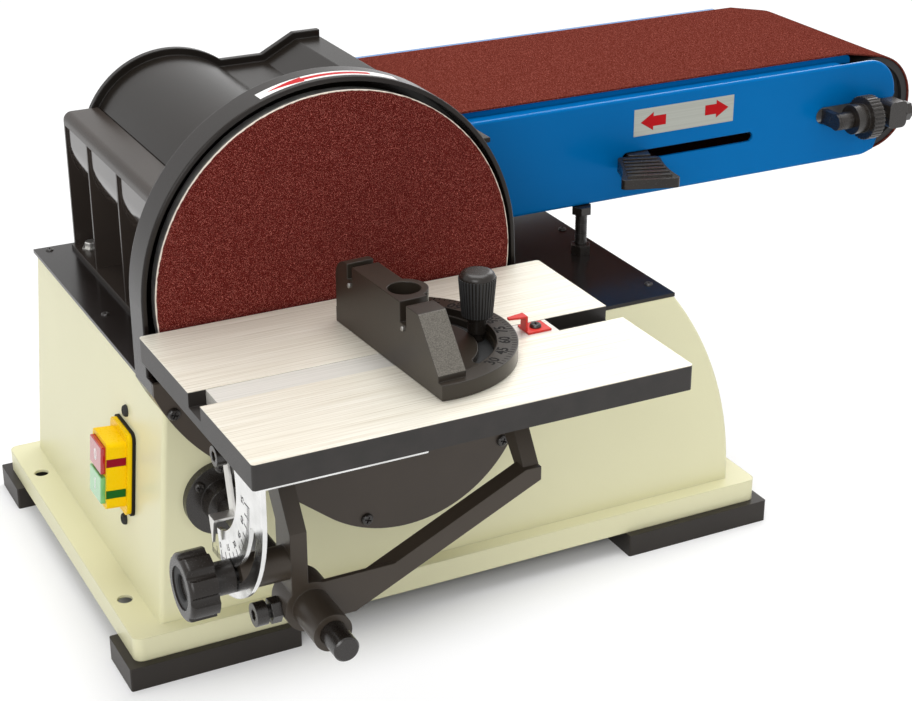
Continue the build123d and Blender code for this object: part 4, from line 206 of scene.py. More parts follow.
# Painted shade: the paper's colour darkens under the base, where only shade falls.
tone = ramp(tree, outside, SHADE_PAINT_FROM, SHADE_PAINT_TO, PAINTED_SHADE_PAPER, PALE_PAPER)
matt = add_node(tree, "ShaderNodeBsdfDiffuse", {"Color": tone})
glow = add_node(tree, "ShaderNodeEmission", {"Strength": GLOW_STRENGTH})
fade = ramp(tree, outside, -FADE_INSIDE, FADE_OUTSIDE, 0.0, FLOOR_GLOW, "SMOOTHSTEP")
share = arithmetic(tree, "MULTIPLY", seen_rays(tree), fade)
blend = add_node(tree, "ShaderNodeMixShader", {"Fac": share, 1: matt.outputs[0], 2: glow.outputs[0]})
add_node(tree, "ShaderNodeOutputMaterial", {"Surface": blend.outputs[0]})
floor_mesh.materials.append(paper)
print("floor", FLOOR_SIZE, "m")

# %% World
WORLD_LIGHT = 0.55
world = bpy.data.worlds.new("studio")
bpy.context.scene.world = world
world.use_nodes = True
tree = world.node_tree
level = ramp(tree, seen_rays(tree), 0.0, 1.0, WORLD_LIGHT, 1.0)
feed(tree.nodes["Background"], {"Color": (1, 1, 1, 1), "Strength": level})
print("world light", WORLD_LIGHT)

# %% [markdown]
# Three area lamps stand for the studio's soft boxes: a wide one overhead, one at the left of the camera for the
# front faces, and a weak one behind the right end that draws bright lines along rounded edges.

# %% Lamps
MIDDLE = Vector((0, 0, 0.2))
for name, location, size, power in (("overhead", (0.1, 0.15, 1.9), 1.6, 30),
                                    ("front_left", (-1.5, -1.7, 1.2), 1.2, 21),
                                    ("rear_right", (1.5, 1.2, 1.3), 1.0, 10)):
    light = bpy.data.lights.new(name, "AREA")
    light.size = size
    light.energy = power
    lamp = put(name, light)
    lamp.location = location
    lamp.rotation_euler = (MIDDLE - Vector(location)).to_track_quat("-Z", "Y").to_euler()
print("lamps", len(bpy.data.lights))

# %% [markdown]
# Materials repeat a few effects: paint and plastic are never quite even, abrasive is a crust of grains, and metal
# keeps the lines of the tool that cut it. Each effect is one node group with named inputs. The first is an uneven
# coat: a slow noise drifts between two tints, as sprayed paint does between thick and thin places. A fine noise
# makes the gloss uneven and gives the height for a faint bump.

# %% Group: uneven coat
COLOUR, VALUE, VECTOR = "NodeSocketColor", "NodeSocketFloat", "NodeSocketVector"


def node_group(kind, name, inputs, outputs):
    """A node group with named sockets; gives the tree, what it is given and its output node."""
    tree = bpy.data.node_groups.new(name, kind)
    for way, sockets in (("INPUT", inputs), ("OUTPUT", outputs)):
        for title, socket in sockets.items():
            tree.interface.new_socket(name=title, in_out=way, socket_type=socket)
    return tree, tree.nodes.new("NodeGroupInput").outputs, tree.nodes.new("NodeGroupOutput")


coat_group, given, result = node_group(
    "ShaderNodeTree", "uneven_coat",
    {"Tint": COLOUR, "Shade": COLOUR, "Patch": VALUE, "Grain": VALUE, "Gloss": VALUE, "Spread": VALUE},
    {"Colour": COLOUR, "Roughness": VALUE, "Height": VALUE})
spot = here(coat_group)
drift = ramp(coat_group, noise(coat_group, spot, given["Patch"], 4), 0.35, 0.65)
fine = noise(coat_group, spot, given["Grain"], 3)
swing = arithmetic(coat_group, "MULTIPLY", arithmetic(coat_group, "SUBTRACT", fine, 0.5), given["Spread"])
feed(result, {"Colour": blend_colours(coat_group, drift, given["Tint"], given["Shade"]),
              "Roughness": arithmetic(coat_group, "ADD", swing, given["Gloss"]), "Height": fine})
print("group", coat_group.name)

# %% [markdown]
# The second effect is grit. Abrasive paper is a crust of broken grains in brown glue: a Voronoi texture cuts the
# surface into small cells, and each cell draws its own lot. Some grains stay dark, most are red, and a few catch the
# light.

# %% Group: grit
grit_group, given, result = node_group(
    "ShaderNodeTree", "grit", {"Body": COLOUR, "Dark": COLOUR, "Glint": COLOUR, "Grain": VALUE},
    {"Colour": COLOUR, "Height": VALUE})
spot = here(grit_group)
cells = add_node(grit_group, "ShaderNodeTexVoronoi", {"Vector": spot, "Scale": given["Grain"]}).outputs
lot = add_node(grit_group, "ShaderNodeSeparateColor", {"Color": cells["Color"]}).outputs
dull = ramp(grit_group, lot[0], 0.55, 0.15)
bright = ramp(grit_group, lot[1], 0.82, 0.98)
tone = blend_colours(grit_group, dull, given["Body"], given["Dark"])
feed(result, {"Colour": blend_colours(grit_group, bright, tone, given["Glint"]),
              "Height": arithmetic(grit_group, "SUBTRACT", 1.0, cells["Distance"])})
print("group", grit_group.name)

# %% [markdown]
# The third effect is tool marks. Noise that is stretched along one axis turns into fine parallel lines, as a planer,
# a lathe or a belt leaves them. The stretch is an input, so each metal part gets lines in its own direction.

# %% Group: tool marks
marks_group, given, result = node_group(
    "ShaderNodeTree", "tool_marks",
    {"Bright": COLOUR, "Dim": COLOUR, "Stretch": VECTOR, "Gloss": VALUE, "Spread": VALUE},
    {"Colour": COLOUR, "Roughness": VALUE, "Height": VALUE})
drawn = vector_sum(marks_group, "MULTIPLY", here(marks_group), given["Stretch"])
lines = ramp(marks_group, noise(marks_group, drawn, 1.0, 5), 0.3, 0.7)
swing = arithmetic(marks_group, "MULTIPLY", lines, given["Spread"])
feed(result, {"Colour": blend_colours(marks_group, lines, given["Bright"], given["Dim"]),
              "Roughness": arithmetic(marks_group, "ADD", swing, given["Gloss"]), "Height": lines})
print("group", marks_group.name)

# %% [markdown]
# A finish is a Principled shader fed by one of those groups. A Bevel node rounds every sharp edge in the shading,
# because no pressed, moulded or cast edge is razor sharp, and thin bright lines along edges are most of what the eye
# reads as a real machine. It costs no geometry.

# %% Helpers for finishes
BEVEL_SAMPLES = 4
MARKS_SPREAD, MARKS_DEPTH = 0.15, 0.00003


def start_finish(name):
    """A new material; gives it with its tree and its shader."""
    material = bpy.data.materials.new(name)
    material.use_nodes = True
    return material, material.node_tree, material.node_tree.nodes["Principled BSDF"]


def add_effect(tree, group, **values):
    """Places a node group in a material with its own values, and gives what it puts out."""
    node = tree.nodes.new("ShaderNodeGroup")
    node.node_tree = group
    return feed(node, values).outputs


def round_edges(tree, shader, radius, height, depth, strength=0.3):
    """Softens edges in the shading and puts a bump on top."""
    edge = add_node(tree, "ShaderNodeBevel", {"Radius": radius})
    edge.samples = BEVEL_SAMPLES
    bump = add_node(tree, "ShaderNodeBump", {"Strength": strength, "Distance": depth, "Height": height,
                                             "Normal": edge.outputs["Normal"]})
    feed(shader, {"Normal": bump.outputs["Normal"]})


def coated(name, tint, shade, gloss, grain=900.0, patch=14.0, spread=0.1, depth=0.00005, edge=0.0006,
           mirror=0.35):
    """Paint, plastic, rubber or oxide: an uneven coat with soft edges; mirror is how strongly it reflects."""
    material, tree, shader = start_finish(name)
    coat = add_effect(tree, coat_group, Tint=(*tint, 1), Shade=(*shade, 1), Patch=patch, Grain=grain, Gloss=gloss,
                      Spread=spread)
    feed(shader, {"Base Color": coat["Colour"], "Roughness": coat["Roughness"], "Specular IOR Level": mirror})
    round_edges(tree, shader, edge, coat["Height"], depth)
    return material


def machined(name, bright, dim, gloss, stretch, edge=0.0005, metal=1.0):
    """Bare metal with the lines of its last tool; less metal scatters more light."""
    material, tree, shader = start_finish(name)
    marks = add_effect(tree, marks_group, Bright=(*bright, 1), Dim=(*dim, 1), Stretch=stretch, Gloss=gloss,
                       Spread=MARKS_SPREAD)
    feed(shader, {"Base Color": marks["Colour"], "Roughness": marks["Roughness"], "Metallic": metal})
    round_edges(tree, shader, edge, marks["Height"], MARKS_DEPTH)
    return material


print("finishes ready")

# %% [markdown]
# The record names a material slot for every CAD node. A small helper gives a finish to all nodes of a slot, or to
# the nodes that are named, and keeps count, so that a node left bare is noticed.

# %% Dressing CAD nodes
slot_of = {entry["node"]: entry["material_slot"] for entry in frame["record"]["subparts"]}
dressed = set()


def dress(material, *names):
    """Gives a material to nodes; the name of a slot stands for all its nodes that have none yet."""
    for name in names:
        waiting = [node for node, slot in slot_of.items() if slot == name and node not in dressed]
        for node in [name] if name in nodes else waiting:
            mesh = nodes[node].data
            mesh.materials.clear()
            mesh.materials.append(material)
            dressed.add(node)
    print(material.name, "on", *names, len(dressed), "of", len(nodes), "nodes")


print("slots", len(set(slot_of.values())))

# %% [markdown]
# The cabinet is bent from sheet steel and sprayed a warm cream. Its paint is half glossy, with a faint orange peel,
# so the fine noise is coarse and the bump is low. The top plate, the guard, the hood and the drum's housing are
# black.

# %% Paint and moulded black
MOULDING, MOULDING_SHADE = (0.039, 0.031, 0.026), (0.033, 0.026, 0.022)
dress(coated("cream_paint", (0.76, 0.735, 0.485), (0.73, 0.705, 0.46), 0.32, grain=420.0, patch=6.0, edge=0.0012),
      "cream_paint")
dress(coated("black_sheet", (0.009, 0.007, 0.006), (0.013, 0.010, 0.009), 0.22, grain=700.0), "black_sheet")
dress(coated("hood_black", (0.013, 0.010, 0.008), (0.010, 0.008, 0.006), 0.24, grain=1500.0, edge=0.0015,
             mirror=0.20), "drum_hood")
housing_black = coated("housing_black", MOULDING, MOULDING_SHADE, 0.24, edge=0.0005, mirror=0.21)
dress(housing_black, "drum_housing")
dress(coated("guard_black", (0.013, 0.010, 0.008), (0.010, 0.007, 0.006), 0.22, edge=0.0012, mirror=0.26),
      "disc_guard")
dress(coated("cover_black", (0.062, 0.048, 0.037), (0.053, 0.041, 0.031), 0.42, grain=1300.0, depth=0.0001),
      "cover_black")
dress(coated("foot_rubber", (0.022, 0.017, 0.013), (0.016, 0.012, 0.009), 0.42, grain=1100.0, depth=0.0001),
      "foot_rubber")

# %% [markdown]
# The arm is folded sheet steel with a bright blue enamel, deep and even. Its reflections are weak, so that the blue
# stays pure, but smooth, so that the folded edges still shine. The fold along the belt is rubbed by hands and work
# and shines most, so the material gives a clear coat to the faces that look up.

# %% Blue enamel
FRONT, LEFT, UP = (0, -1, 0), (-1, 0, 0), (0, 0, 1)


def looking(tree, way, low, high):
    """A mask by direction: 0 where the surface looks too far from a way, and 1 where it looks along it."""
    normal = tree.nodes.new("ShaderNodeTexCoord").outputs["Normal"]
    return ramp(tree, vector_sum(tree, "DOT_PRODUCT", normal, way), low, high)


blue = coated("arm_blue", (0.0001, 0.138, 0.405), (0.0001, 0.126, 0.380), 0.24, grain=420.0, patch=7.0,
              edge=0.0015, mirror=0.05)
rubbed = looking(blue.node_tree, UP, 0.80, 0.97)
feed(blue.node_tree.nodes["Principled BSDF"], {"Coat Weight": rubbed, "Coat Roughness": 0.12})
dress(blue, "arm_blue")

# %% [markdown]
# The sanding belt and the disc carry the same kind of red grain, finer on the disc. The paper disc is punched from a
# sheet, and its edge shows the pale backing as a thin ragged line, so the disc's material measures the distance from
# its axis and frays it with a little noise.

# %% Abrasive belt
BELT_GRAIN, DISC_GRAIN = 2600.0, 3600.0


def abrasive(name, body, dark, glint, grain, mirror):
    """Red grit in glue; gives the material, its tree, its shader and the colour of its grains."""
    material, tree, shader = start_finish(name)
    grit = add_effect(tree, grit_group, Body=(*body, 1), Dark=(*dark, 1), Glint=(*glint, 1), Grain=grain)
    feed(shader, {"Base Color": grit["Colour"], "Roughness": 0.75, "Specular IOR Level": mirror})
    round_edges(tree, shader, 0.0002, grit["Height"], 0.0002, 0.6)
    return material, tree, shader, grit["Colour"]


dress(abrasive("belt_abrasive", (0.130, 0.026, 0.018), (0.062, 0.010, 0.007), (0.34, 0.10, 0.075), BELT_GRAIN,
               0.0)[0], "sanding_belt")

# %% Abrasive disc
PAPER_EDGE, EDGE_BLUR = 0.11355, 0.0002
FRAY, FRAY_SCALE = 0.0014, 260.0
BACKING = (0.78, 0.70, 0.60, 1)
disc_red, tree, shader, grains = abrasive("disc_abrasive", (0.108, 0.012, 0.009), (0.040, 0.003, 0.002),
                                          (0.56, 0.17, 0.135), DISC_GRAIN, 0.05)
from_axis = vector_sum(tree, "MULTIPLY", vector_sum(tree, "SUBTRACT", here(tree), DISC_CENTRE), (1, 0, 1))
fray = arithmetic(tree, "MULTIPLY", noise(tree, here(tree), FRAY_SCALE, 4), FRAY)
fray = arithmetic(tree, "SUBTRACT", fray, FRAY / 2)
ragged = arithmetic(tree, "ADD", vector_sum(tree, "LENGTH", from_axis), fray)
pale = ramp(tree, ragged, PAPER_EDGE - EDGE_BLUR, PAPER_EDGE + EDGE_BLUR)
feed(shader, {"Base Color": blend_colours(tree, pale, grains, BACKING)})
dress(disc_red, "abrasive_disc")

# %% [markdown]
# The table is an aluminium casting, painted black and then planed on top. One material does both: a mask by height,
# 1 on the planed face alone, drives colour, roughness and metal. The planer ran along the table, so its lines do
# too. Its fine furrows scatter light, so the face looks pale more than mirror-like, and it is only part metal.

# %% Table
PLANED_SKIN, PLANED_METAL = 0.0005, 0.4
planed_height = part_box("table_top")[1].z
table_metal, tree, shader = start_finish("table_aluminium")
marks = add_effect(tree, marks_group, Bright=(0.92, 0.89, 0.79, 1), Dim=(0.60, 0.55, 0.44, 1),
                   Stretch=(14.0, 1200.0, 1200.0), Gloss=0.36, Spread=0.12)
paint = add_effect(tree, coat_group, Tint=(0.019, 0.015, 0.013, 1), Shade=(0.012, 0.010, 0.008, 1), Patch=90.0,
                   Grain=1200.0, Gloss=0.45, Spread=0.2)
height = add_node(tree, "ShaderNodeSeparateXYZ", {0: here(tree)}).outputs["Z"]
planed = ramp(tree, height, planed_height - PLANED_SKIN, planed_height - PLANED_SKIN / 2)
gloss = add_node(tree, "ShaderNodeMix", {0: planed, 2: paint["Roughness"], 3: marks["Roughness"]}).outputs[0]
feed(shader, {"Base Color": blend_colours(tree, planed, paint["Colour"], marks["Colour"]), "Roughness": gloss,
              "Metallic": arithmetic(tree, "MULTIPLY", planed, PLANED_METAL)})
round_edges(tree, shader, 0.0005, marks["Height"], 0.00002)
dress(table_metal, "table_top")
dress(machined("bar_steel", (0.70, 0.68, 0.63), (0.55, 0.53, 0.48), 0.40, (6.0, 900.0, 900.0), metal=0.35),
      "table_aluminium")

# %% [markdown]
# The other metals: zinc plate on the bolts and, so smooth that it mirrors the floor, on the quadrant; turned steel
# on shafts, cast aluminium on pulleys and the disc plate, black oxide on screws. Turned parts get short stretches in
# two directions, because their lines run round the axis.

# %% Metals
EVEN = (60.0, 60.0, 60.0)
dress(machined("quadrant_zinc", (0.80, 0.80, 0.79), (0.66, 0.66, 0.65), 0.13, EVEN), "table_quadrant")
zinc = machined("zinc_plate", (0.80, 0.79, 0.76), (0.62, 0.61, 0.58), 0.32, EVEN)
dress(zinc, "zinc")
dress(machined("platen_steel", (0.62, 0.61, 0.59), (0.48, 0.47, 0.46), 0.34, (8.0, 300.0, 300.0)), "platen_steel")
dress(machined("bearing_steel", (0.66, 0.65, 0.64), (0.52, 0.51, 0.50), 0.26, (40.0, 900.0, 40.0)),
      "drive_shaft", "motor_shaft", "front_bearing", "rear_bearing")
dress(machined("cast_aluminium", (0.72, 0.71, 0.69), (0.55, 0.54, 0.52), 0.42, (120.0, 120.0, 120.0)),
      "cast_aluminium")
oxide = coated("black_oxide", (0.020, 0.016, 0.013), (0.013, 0.010, 0.008), 0.28, grain=1600.0, edge=0.0008,
               mirror=0.6)
dress(oxide, "black_oxide", "left_pivot_bolt", "right_pivot_bolt", "tension_lever", "bearing_steel")
dress(coated("iron_paint", (0.11, 0.115, 0.12), (0.085, 0.09, 0.095), 0.5, grain=600.0, depth=0.0002), "iron")

# %% [markdown]
# Moulded plastics and rubber come last. The switch is glossy yellow with a red and a green key under clear lacquer.
# The bracket and the mitre head are castings with a rougher, browner black than the sheet parts, so their grain is
# coarser and deeper.

# %% Plastics, rubber and castings
dress(coated("switch_yellow", (0.89, 0.58, 0.001), (0.86, 0.53, 0.001), 0.28, edge=0.0008, mirror=0.1),
      "switch_yellow")
dress(coated("gasket_black", (0.016, 0.013, 0.011), (0.012, 0.010, 0.008), 0.6, mirror=0.1), "gasket_black")
for name, slot, tint, shade in (("key_red", "button_red", (0.42, 0.008, 0.016), (0.38, 0.006, 0.013)),
                                ("key_green", "button_green", (0.16, 0.50, 0.17), (0.14, 0.46, 0.15))):
    key = coated(name, tint, shade, 0.16, edge=0.0008)
    feed(key.node_tree.nodes["Principled BSDF"], {"Coat Weight": 1.0, "Coat IOR": 1.5, "Coat Roughness": 0.06})
    dress(key, slot)
dress(coated("pointer_red", (0.62, 0.03, 0.02), (0.56, 0.025, 0.018), 0.35), "pointer_red")
dress(coated("knob_plastic", (0.020, 0.016, 0.013), (0.014, 0.011, 0.009), 0.26, edge=0.0009), "knob_plastic")
dress(coated("roller_rubber", (0.022, 0.021, 0.021), (0.016, 0.015, 0.015), 0.55), "roller_black")
dress(coated("belt_rubber", (0.016, 0.016, 0.016), (0.011, 0.011, 0.011), 0.6), "belt_rubber")
dress(coated("casting_black", (0.052, 0.040, 0.029), (0.042, 0.032, 0.023), 0.36, grain=1100.0, depth=0.00012,
             edge=0.0009), "table_bracket")

# %% [markdown]
# The mitre head is such a casting too, but its sloping toe was ground after painting and shows grey metal with a
# grainy, worn look. The slope is told from the other faces by its direction: the material compares the surface
# normal with the slope's and paints only where they agree.

# %% Mitre head
SLOPE = Vector((0.041, -0.787, 0.616)).normalized()
SLOPE_MATCH = 0.97
head_black, tree, shader = start_finish("head_black")
paint = add_effect(tree, coat_group, Tint=(0.026, 0.020, 0.014, 1), Shade=(0.020, 0.015, 0.011, 1), Patch=25.0,
                   Grain=1000.0, Gloss=0.32, Spread=0.12)
ground = add_effect(tree, coat_group, Tint=(0.15, 0.138, 0.118, 1), Shade=(0.075, 0.067, 0.055, 1), Patch=1500.0,
                    Grain=1600.0, Gloss=0.45, Spread=0.2)
slope = looking(tree, SLOPE, SLOPE_MATCH, SLOPE_MATCH + 0.01)
feed(shader, {"Base Color": blend_colours(tree, slope, paint["Colour"], ground["Colour"]),
              "Roughness": paint["Roughness"], "Specular IOR Level": 0.4})
round_edges(tree, shader, 0.0009, ground["Height"], 0.0001, 0.25)
dress(head_black, "bracket_black")

# %% [markdown]
# Now the pieces that are too fine for the CAD model. Each one rides on a CAD body, so it follows that body in every
# pose. Its place is in its mesh, and its object stays at the origin. Most shapes are skins: rings of points, each
# joined to the next and capped at the ends.

# %% Helpers for new pieces
def add_piece(name, mesh, body, material=None):
    """Puts a mesh in the scene as a piece that rides on a body."""
    if material is not None:
        mesh.materials.append(material)
    piece = put(name, mesh)
    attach(piece, body)
    print(name, len(mesh.polygons), "faces on", body)
    return piece


def mesh_of(carrier, name):
    """The evaluated shape of an object as a plain mesh; the object itself is removed."""
    depsgraph = bpy.context.evaluated_depsgraph_get()
    mesh = bpy.data.meshes.new_from_object(carrier.evaluated_get(depsgraph), depsgraph=depsgraph)
    mesh.name = name
    bpy.data.objects.remove(carrier)
    return mesh


def shape_of(work, name, turn_out=True):
    """Ends a bmesh as a mesh, with its faces turned outwards where they may not be yet."""
    if turn_out:
        bmesh.ops.recalc_face_normals(work, faces=work.faces)
    mesh = bpy.data.meshes.new(name)
    work.to_mesh(mesh)
    work.free()
    return mesh


def skin(work, sections, caps=(0, -1), closed=False):
    """Joins rings of points, each to the next, and caps some of them; gives the faces between the rings."""
    rings = [[work.verts.new(point) for point in section] for section in sections]
    for end in caps:
        work.faces.new(rings[end])
    after = rings[1:] + (rings[:1] if closed else [])
    return [work.faces.new((ring[side], ring[side - 1], following[side - 1], following[side]))
            for ring, following in zip(rings, after) for side in range(len(ring))]


def shell(name, sections, caps=(0, -1), closed=False):
    """A mesh of one skin."""
    work = bmesh.new()
    skin(work, sections, caps, closed)
    return shape_of(work, name)


def joined(name, meshes):
    """Several meshes as one."""
    work = bmesh.new()
    for mesh in meshes:
        work.from_mesh(mesh)
    return shape_of(work, name, turn_out=False)


def frame_at(origin, right, up):
    """A drawing plane: its origin, its right and its up, with the third axis towards the eye."""
    right = Vector(right).normalized()
    up = Vector(up).normalized()
    matrix = Matrix((right, up, right.cross(up))).transposed().to_4x4()
    matrix.translation = origin
    return matrix


print("helpers ready")

# %% [markdown]
# The housing beside the drum is one moulding with open bays on its left. Thin fins stand flush with the edge of the
# ledge, and behind them a wall bellies in from that edge to the drum, so polished that it mirrors the floor. The
# wall's outline is made of arcs and drawn once. Pushed along the machine it gives the shell, and its outer half
# closes each fin. The piece stands for the CAD solid, whose wall and fins are plainer.

# %% Drum housing
HOUSING_NEAR, HOUSING_FAR = 28.1, 294.7
LEDGE_LEFT, LEDGE_TOP, LEDGE_UNDER, SHOULDER = -79.0, 31.0, 22.0, 6.0
FOOT_LEFT, FOOT_TOP, FOOT_UNDER = -81.0, -66.7, -69.7
DRUM_ROOM, DRUM_WALL, WALL_FOOT = 62.0, 65.0, -39.4
BELLY, BELLY_RADIUS = (-32.0, 10.0), 45.5
FIN = 2.4
FIN_BACKS = (HOUSING_FAR, 243.4, 179.0, 115.0, 51.0, HOUSING_NEAR + FIN)
SHARP = radians(25)


def arc(centre, radius, start, stop, steps):
    """Points of an arc, angles in degrees."""
    angles = [radians(start + (stop - start) * step / steps) for step in range(steps + 1)]
    return [(centre[0] + radius * cos(angle), centre[1] + radius * sin(angle)) for angle in angles]


def pushed(work, outline, near, far, glossy=range(0)):
    """A closed prism: an outline of (x, z) pushed from near to far; the glossy sides get the second finish."""
    for side, face in enumerate(skin(work, [[place(x, y, z) for x, z in outline] for y in (near, far)])):
        face.material_index = int(side in glossy)
        face.smooth = True


belly = arc((0, 0), DRUM_WALL, 232.7, 203.9, 16) + arc(BELLY, BELLY_RADIUS, 232.9, 180, 28)
belly.append((belly[-1][0], LEDGE_UNDER))
ledge = [(LEDGE_LEFT, LEDGE_UNDER)]
ledge += arc((LEDGE_LEFT + SHOULDER, LEDGE_TOP - SHOULDER), SHOULDER, 180, 90, 10)
inside = arc((0, 0), DRUM_ROOM, 150, 234, 32)
foot = [(inside[-1][0], FOOT_UNDER), (FOOT_LEFT, FOOT_UNDER), (FOOT_LEFT, FOOT_TOP), (WALL_FOOT, FOOT_TOP)]
fin_outline = [(WALL_FOOT, FOOT_TOP), (LEDGE_LEFT, FOOT_TOP), (LEDGE_LEFT, LEDGE_UNDER)] + belly[::-1]
polished = range(len(foot) + 1, len(foot) + len(belly))
work = bmesh.new()
pushed(work, foot + belly + ledge + inside, HOUSING_NEAR, HOUSING_FAR, polished)
for back in FIN_BACKS:
    pushed(work, fin_outline, back - FIN, back)
housing = shape_of(work, "drum_bays")
housing.set_sharp_from_angle(angle=SHARP)
bays = add_piece("drum_bays", housing, "base", housing_black)
housing.materials.append(coated("bay_gloss", MOULDING, MOULDING_SHADE, 0.10, spread=0.04, mirror=1.0))
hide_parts("drum_housing")

# %% [markdown]
# Screws, bolts and pins repeat, so Geometry Nodes place them. Points carry a direction in an attribute called
# facing; the tree turns a copy of the head that way and realizes it. Modelling each head by hand, or an array, would
# work too, but here one tree serves every kind of head on every face of the machine.

# %% Tree: set fasteners
def geometry_tree(name, inputs):
    """A geometry tree with named inputs and a finish; gives the tree, what it is given and its output node."""
    inputs = {"Geometry": "NodeSocketGeometry", **inputs, "Finish": "NodeSocketMaterial"}
    return node_group("GeometryNodeTree", name, inputs, {"Geometry": "NodeSocketGeometry"})


def end_tree(tree, geometry, given, result):
    """Realizes copies, sets the finish and ends the tree."""
    real = add_node(tree, "GeometryNodeRealizeInstances", {"Geometry": geometry}).outputs["Geometry"]
    finish = add_node(tree, "GeometryNodeSetMaterial", {"Geometry": real, "Material": given["Finish"]})
    feed(result, {"Geometry": finish.outputs["Geometry"]})
    print("tree", tree.name)


setting, given, result = geometry_tree("set_fasteners", {"Head": "NodeSocketObject", "Size": VALUE})
head = add_node(setting, "GeometryNodeObjectInfo", {"Object": given["Head"], "As Instance": True})
facing = add_node(setting, "GeometryNodeInputNamedAttribute", {"Name": "facing"})
facing.data_type = "FLOAT_VECTOR"
turn = setting.nodes.new("FunctionNodeAlignRotationToVector")
turn.axis = "Z"
feed(turn, {"Vector": facing.outputs["Attribute"]})
copies = add_node(setting, "GeometryNodeInstanceOnPoints", {
    "Points": given["Geometry"], "Instance": head.outputs["Geometry"], "Rotation": turn.outputs["Rotation"],
    "Scale": given["Size"]})
end_tree(setting, copies.outputs["Instances"], given, result)

# %% [markdown]
# A head is turned from a short profile: rings of points, each with a radius and a height, in units of its diameter.
# Six sides give a hexagon bolt on its washer, sixteen give a pan head. The pan head gets a cross recess: a cross
# outline is bridged to the last ring, and a lower cross is its floor.

# %% Heads
def turned_head(name, sides, profile, recess=None):
    """A closed head, with a cross recess of (arm, half width, floor) where one is given."""
    work = bmesh.new()
    turns = [2 * pi * side / sides for side in range(sides)]
    rings = [[(radius * cos(turn), radius * sin(turn), height) for turn in turns] for radius, height in profile]
    skin(work, rings, (0,) if recess else (0, -1))
    if recess:
        arm, half, floor = recess
        corner = [Vector(spot) for spot in ((arm, half), (half, half), (half, arm))]
        cross = [Matrix.Rotation(quarter * pi / 2 - pi / 8, 2) @ spot for quarter in range(4) for spot in corner]
        skin(work, [[(*spot, height) for spot in cross] for height in (profile[-1][1], floor)], (-1,))
        bmesh.ops.bridge_loops(work, edges=[edge for edge in work.edges if edge.is_boundary])
    return put(name, shape_of(work, name))


pan_head = turned_head("pan_head", 16, [(0.5, -0.05), (0.5, 0.1), (0.44, 0.24), (0.36, 0.3)], (0.28, 0.06, 0.1))
hex_head = turned_head("hex_head", 6, [(0.72, -0.02), (0.72, 0.1), (0.5, 0.1), (0.5, 0.46), (0.44, 0.52)])
pin_head = turned_head("pin_head", 12, [(0.5, -0.2), (0.5, 0.3), (0.4, 0.42), (0.2, 0.48)])
print("heads", pan_head.name, hex_head.name, pin_head.name)

# %% [markdown]
# The left panel of the cabinet leans, so a helper gives a drawing plane on it. The screws' places are read from the
# machine: four hold the cover, six the top plate, two the switch, three the rod's flange, and the hexagon bolts hold
# the drum housing. The screws of the switch take the plain finish that the frame itself brings for the gasket.

# %% Places of the fasteners
PANEL_FOOT, PANEL_LEFT = -224.2, -117.3
PANEL_LEAN = 12.5 / 152.0
COVER_FACE, PLATE_FACE, FLANGE_FACE = -7.0, -69.7, 21.5
FLANGE_MIDDLE, FLANGE_CIRCLE = (-73.0, -142.5), 19.0
SUNK = 0.7


def on_panel(y, z):
    """A drawing plane on the cabinet's left panel."""
    return frame_at(place(PANEL_LEFT + PANEL_LEAN * (z - PANEL_FOOT), y, z), FRONT, (PANEL_LEAN, 0, 1))


panel_out = on_panel(0, 0).col[2].to_3d()
cover_screws = [(place(x, COVER_FACE, z), FRONT)
                for x, z in ((107.2, -130.6), (11.1, -163.8), (-110, -63), (-83, -104))]
plate_screws = [(place(x, y, PLATE_FACE - SUNK), UP) for x in (-96.5, 250.5) for y in (49.0, 167.2, 297.5)]
flange_screws = [(place(x, FLANGE_FACE, z), FRONT) for x, z in arc(FLANGE_MIDDLE, FLANGE_CIRCLE, 141, 381, 2)]
panel_screws = [(on_panel(97.5, z).translation, panel_out) for z in (-107.2, -184.0)]
housing_bolts = [(place(-70.5, y, FOOT_TOP), UP) for y in (281.0, 63.0)]
pointer_screw = [(place(81.0, -93.8, -11.6), UP)]
print("cover", len(cover_screws), "plate", len(plate_screws), "flange", len(flange_screws))

# %% Setting them
def grow(name, mesh, tree, **inputs):
    """Runs a geometry tree on a mesh and gives the result as a plain mesh."""
    carrier = put(name + "_carrier", mesh)
    modifier = carrier.modifiers.new("grow", "NODES")
    modifier.node_group = tree
    for socket in tree.interface.items_tree:
        if socket.in_out == "INPUT" and socket.name in inputs:
            modifier[socket.identifier] = inputs[socket.name]
    return mesh_of(carrier, name)


def set_heads(name, body, shape, size, material, spots):
    """Sets copies of a head, size in millimetres, on spots of (point, facing)."""
    points = bpy.data.meshes.new(name + "_points")
    points.from_pydata([point for point, facing in spots], [], [])
    aim = points.attributes.new("facing", "FLOAT_VECTOR", "POINT")
    for entry, (point, facing) in zip(aim.data, spots):
        entry.vector = facing
    add_piece(name, grow(name, points, setting, Head=shape, Size=size / 1000, Finish=material), body)


plain_gasket = bpy.data.materials["gasket_black"]
set_heads("cover_screws", "base", pan_head, 8.0, oxide, cover_screws)
set_heads("plate_screws", "base", pan_head, 6.0, oxide, plate_screws)
set_heads("flange_screws", "base", pan_head, 7.0, oxide, flange_screws)
set_heads("housing_bolts", "base", hex_head, 9.5, zinc, housing_bolts)
set_heads("panel_screws", "base", pan_head, 8.0, plain_gasket, panel_screws)
set_heads("pointer_screw", "mitre_slide", pan_head, 7.0, oxide, pointer_screw)

# %% [markdown]
# The fence of the mitre head has two small steel pins at the feet of its grooves. The head is turned three degrees
# on its bar, so a drawing plane on its swivel turns places on the head with it.

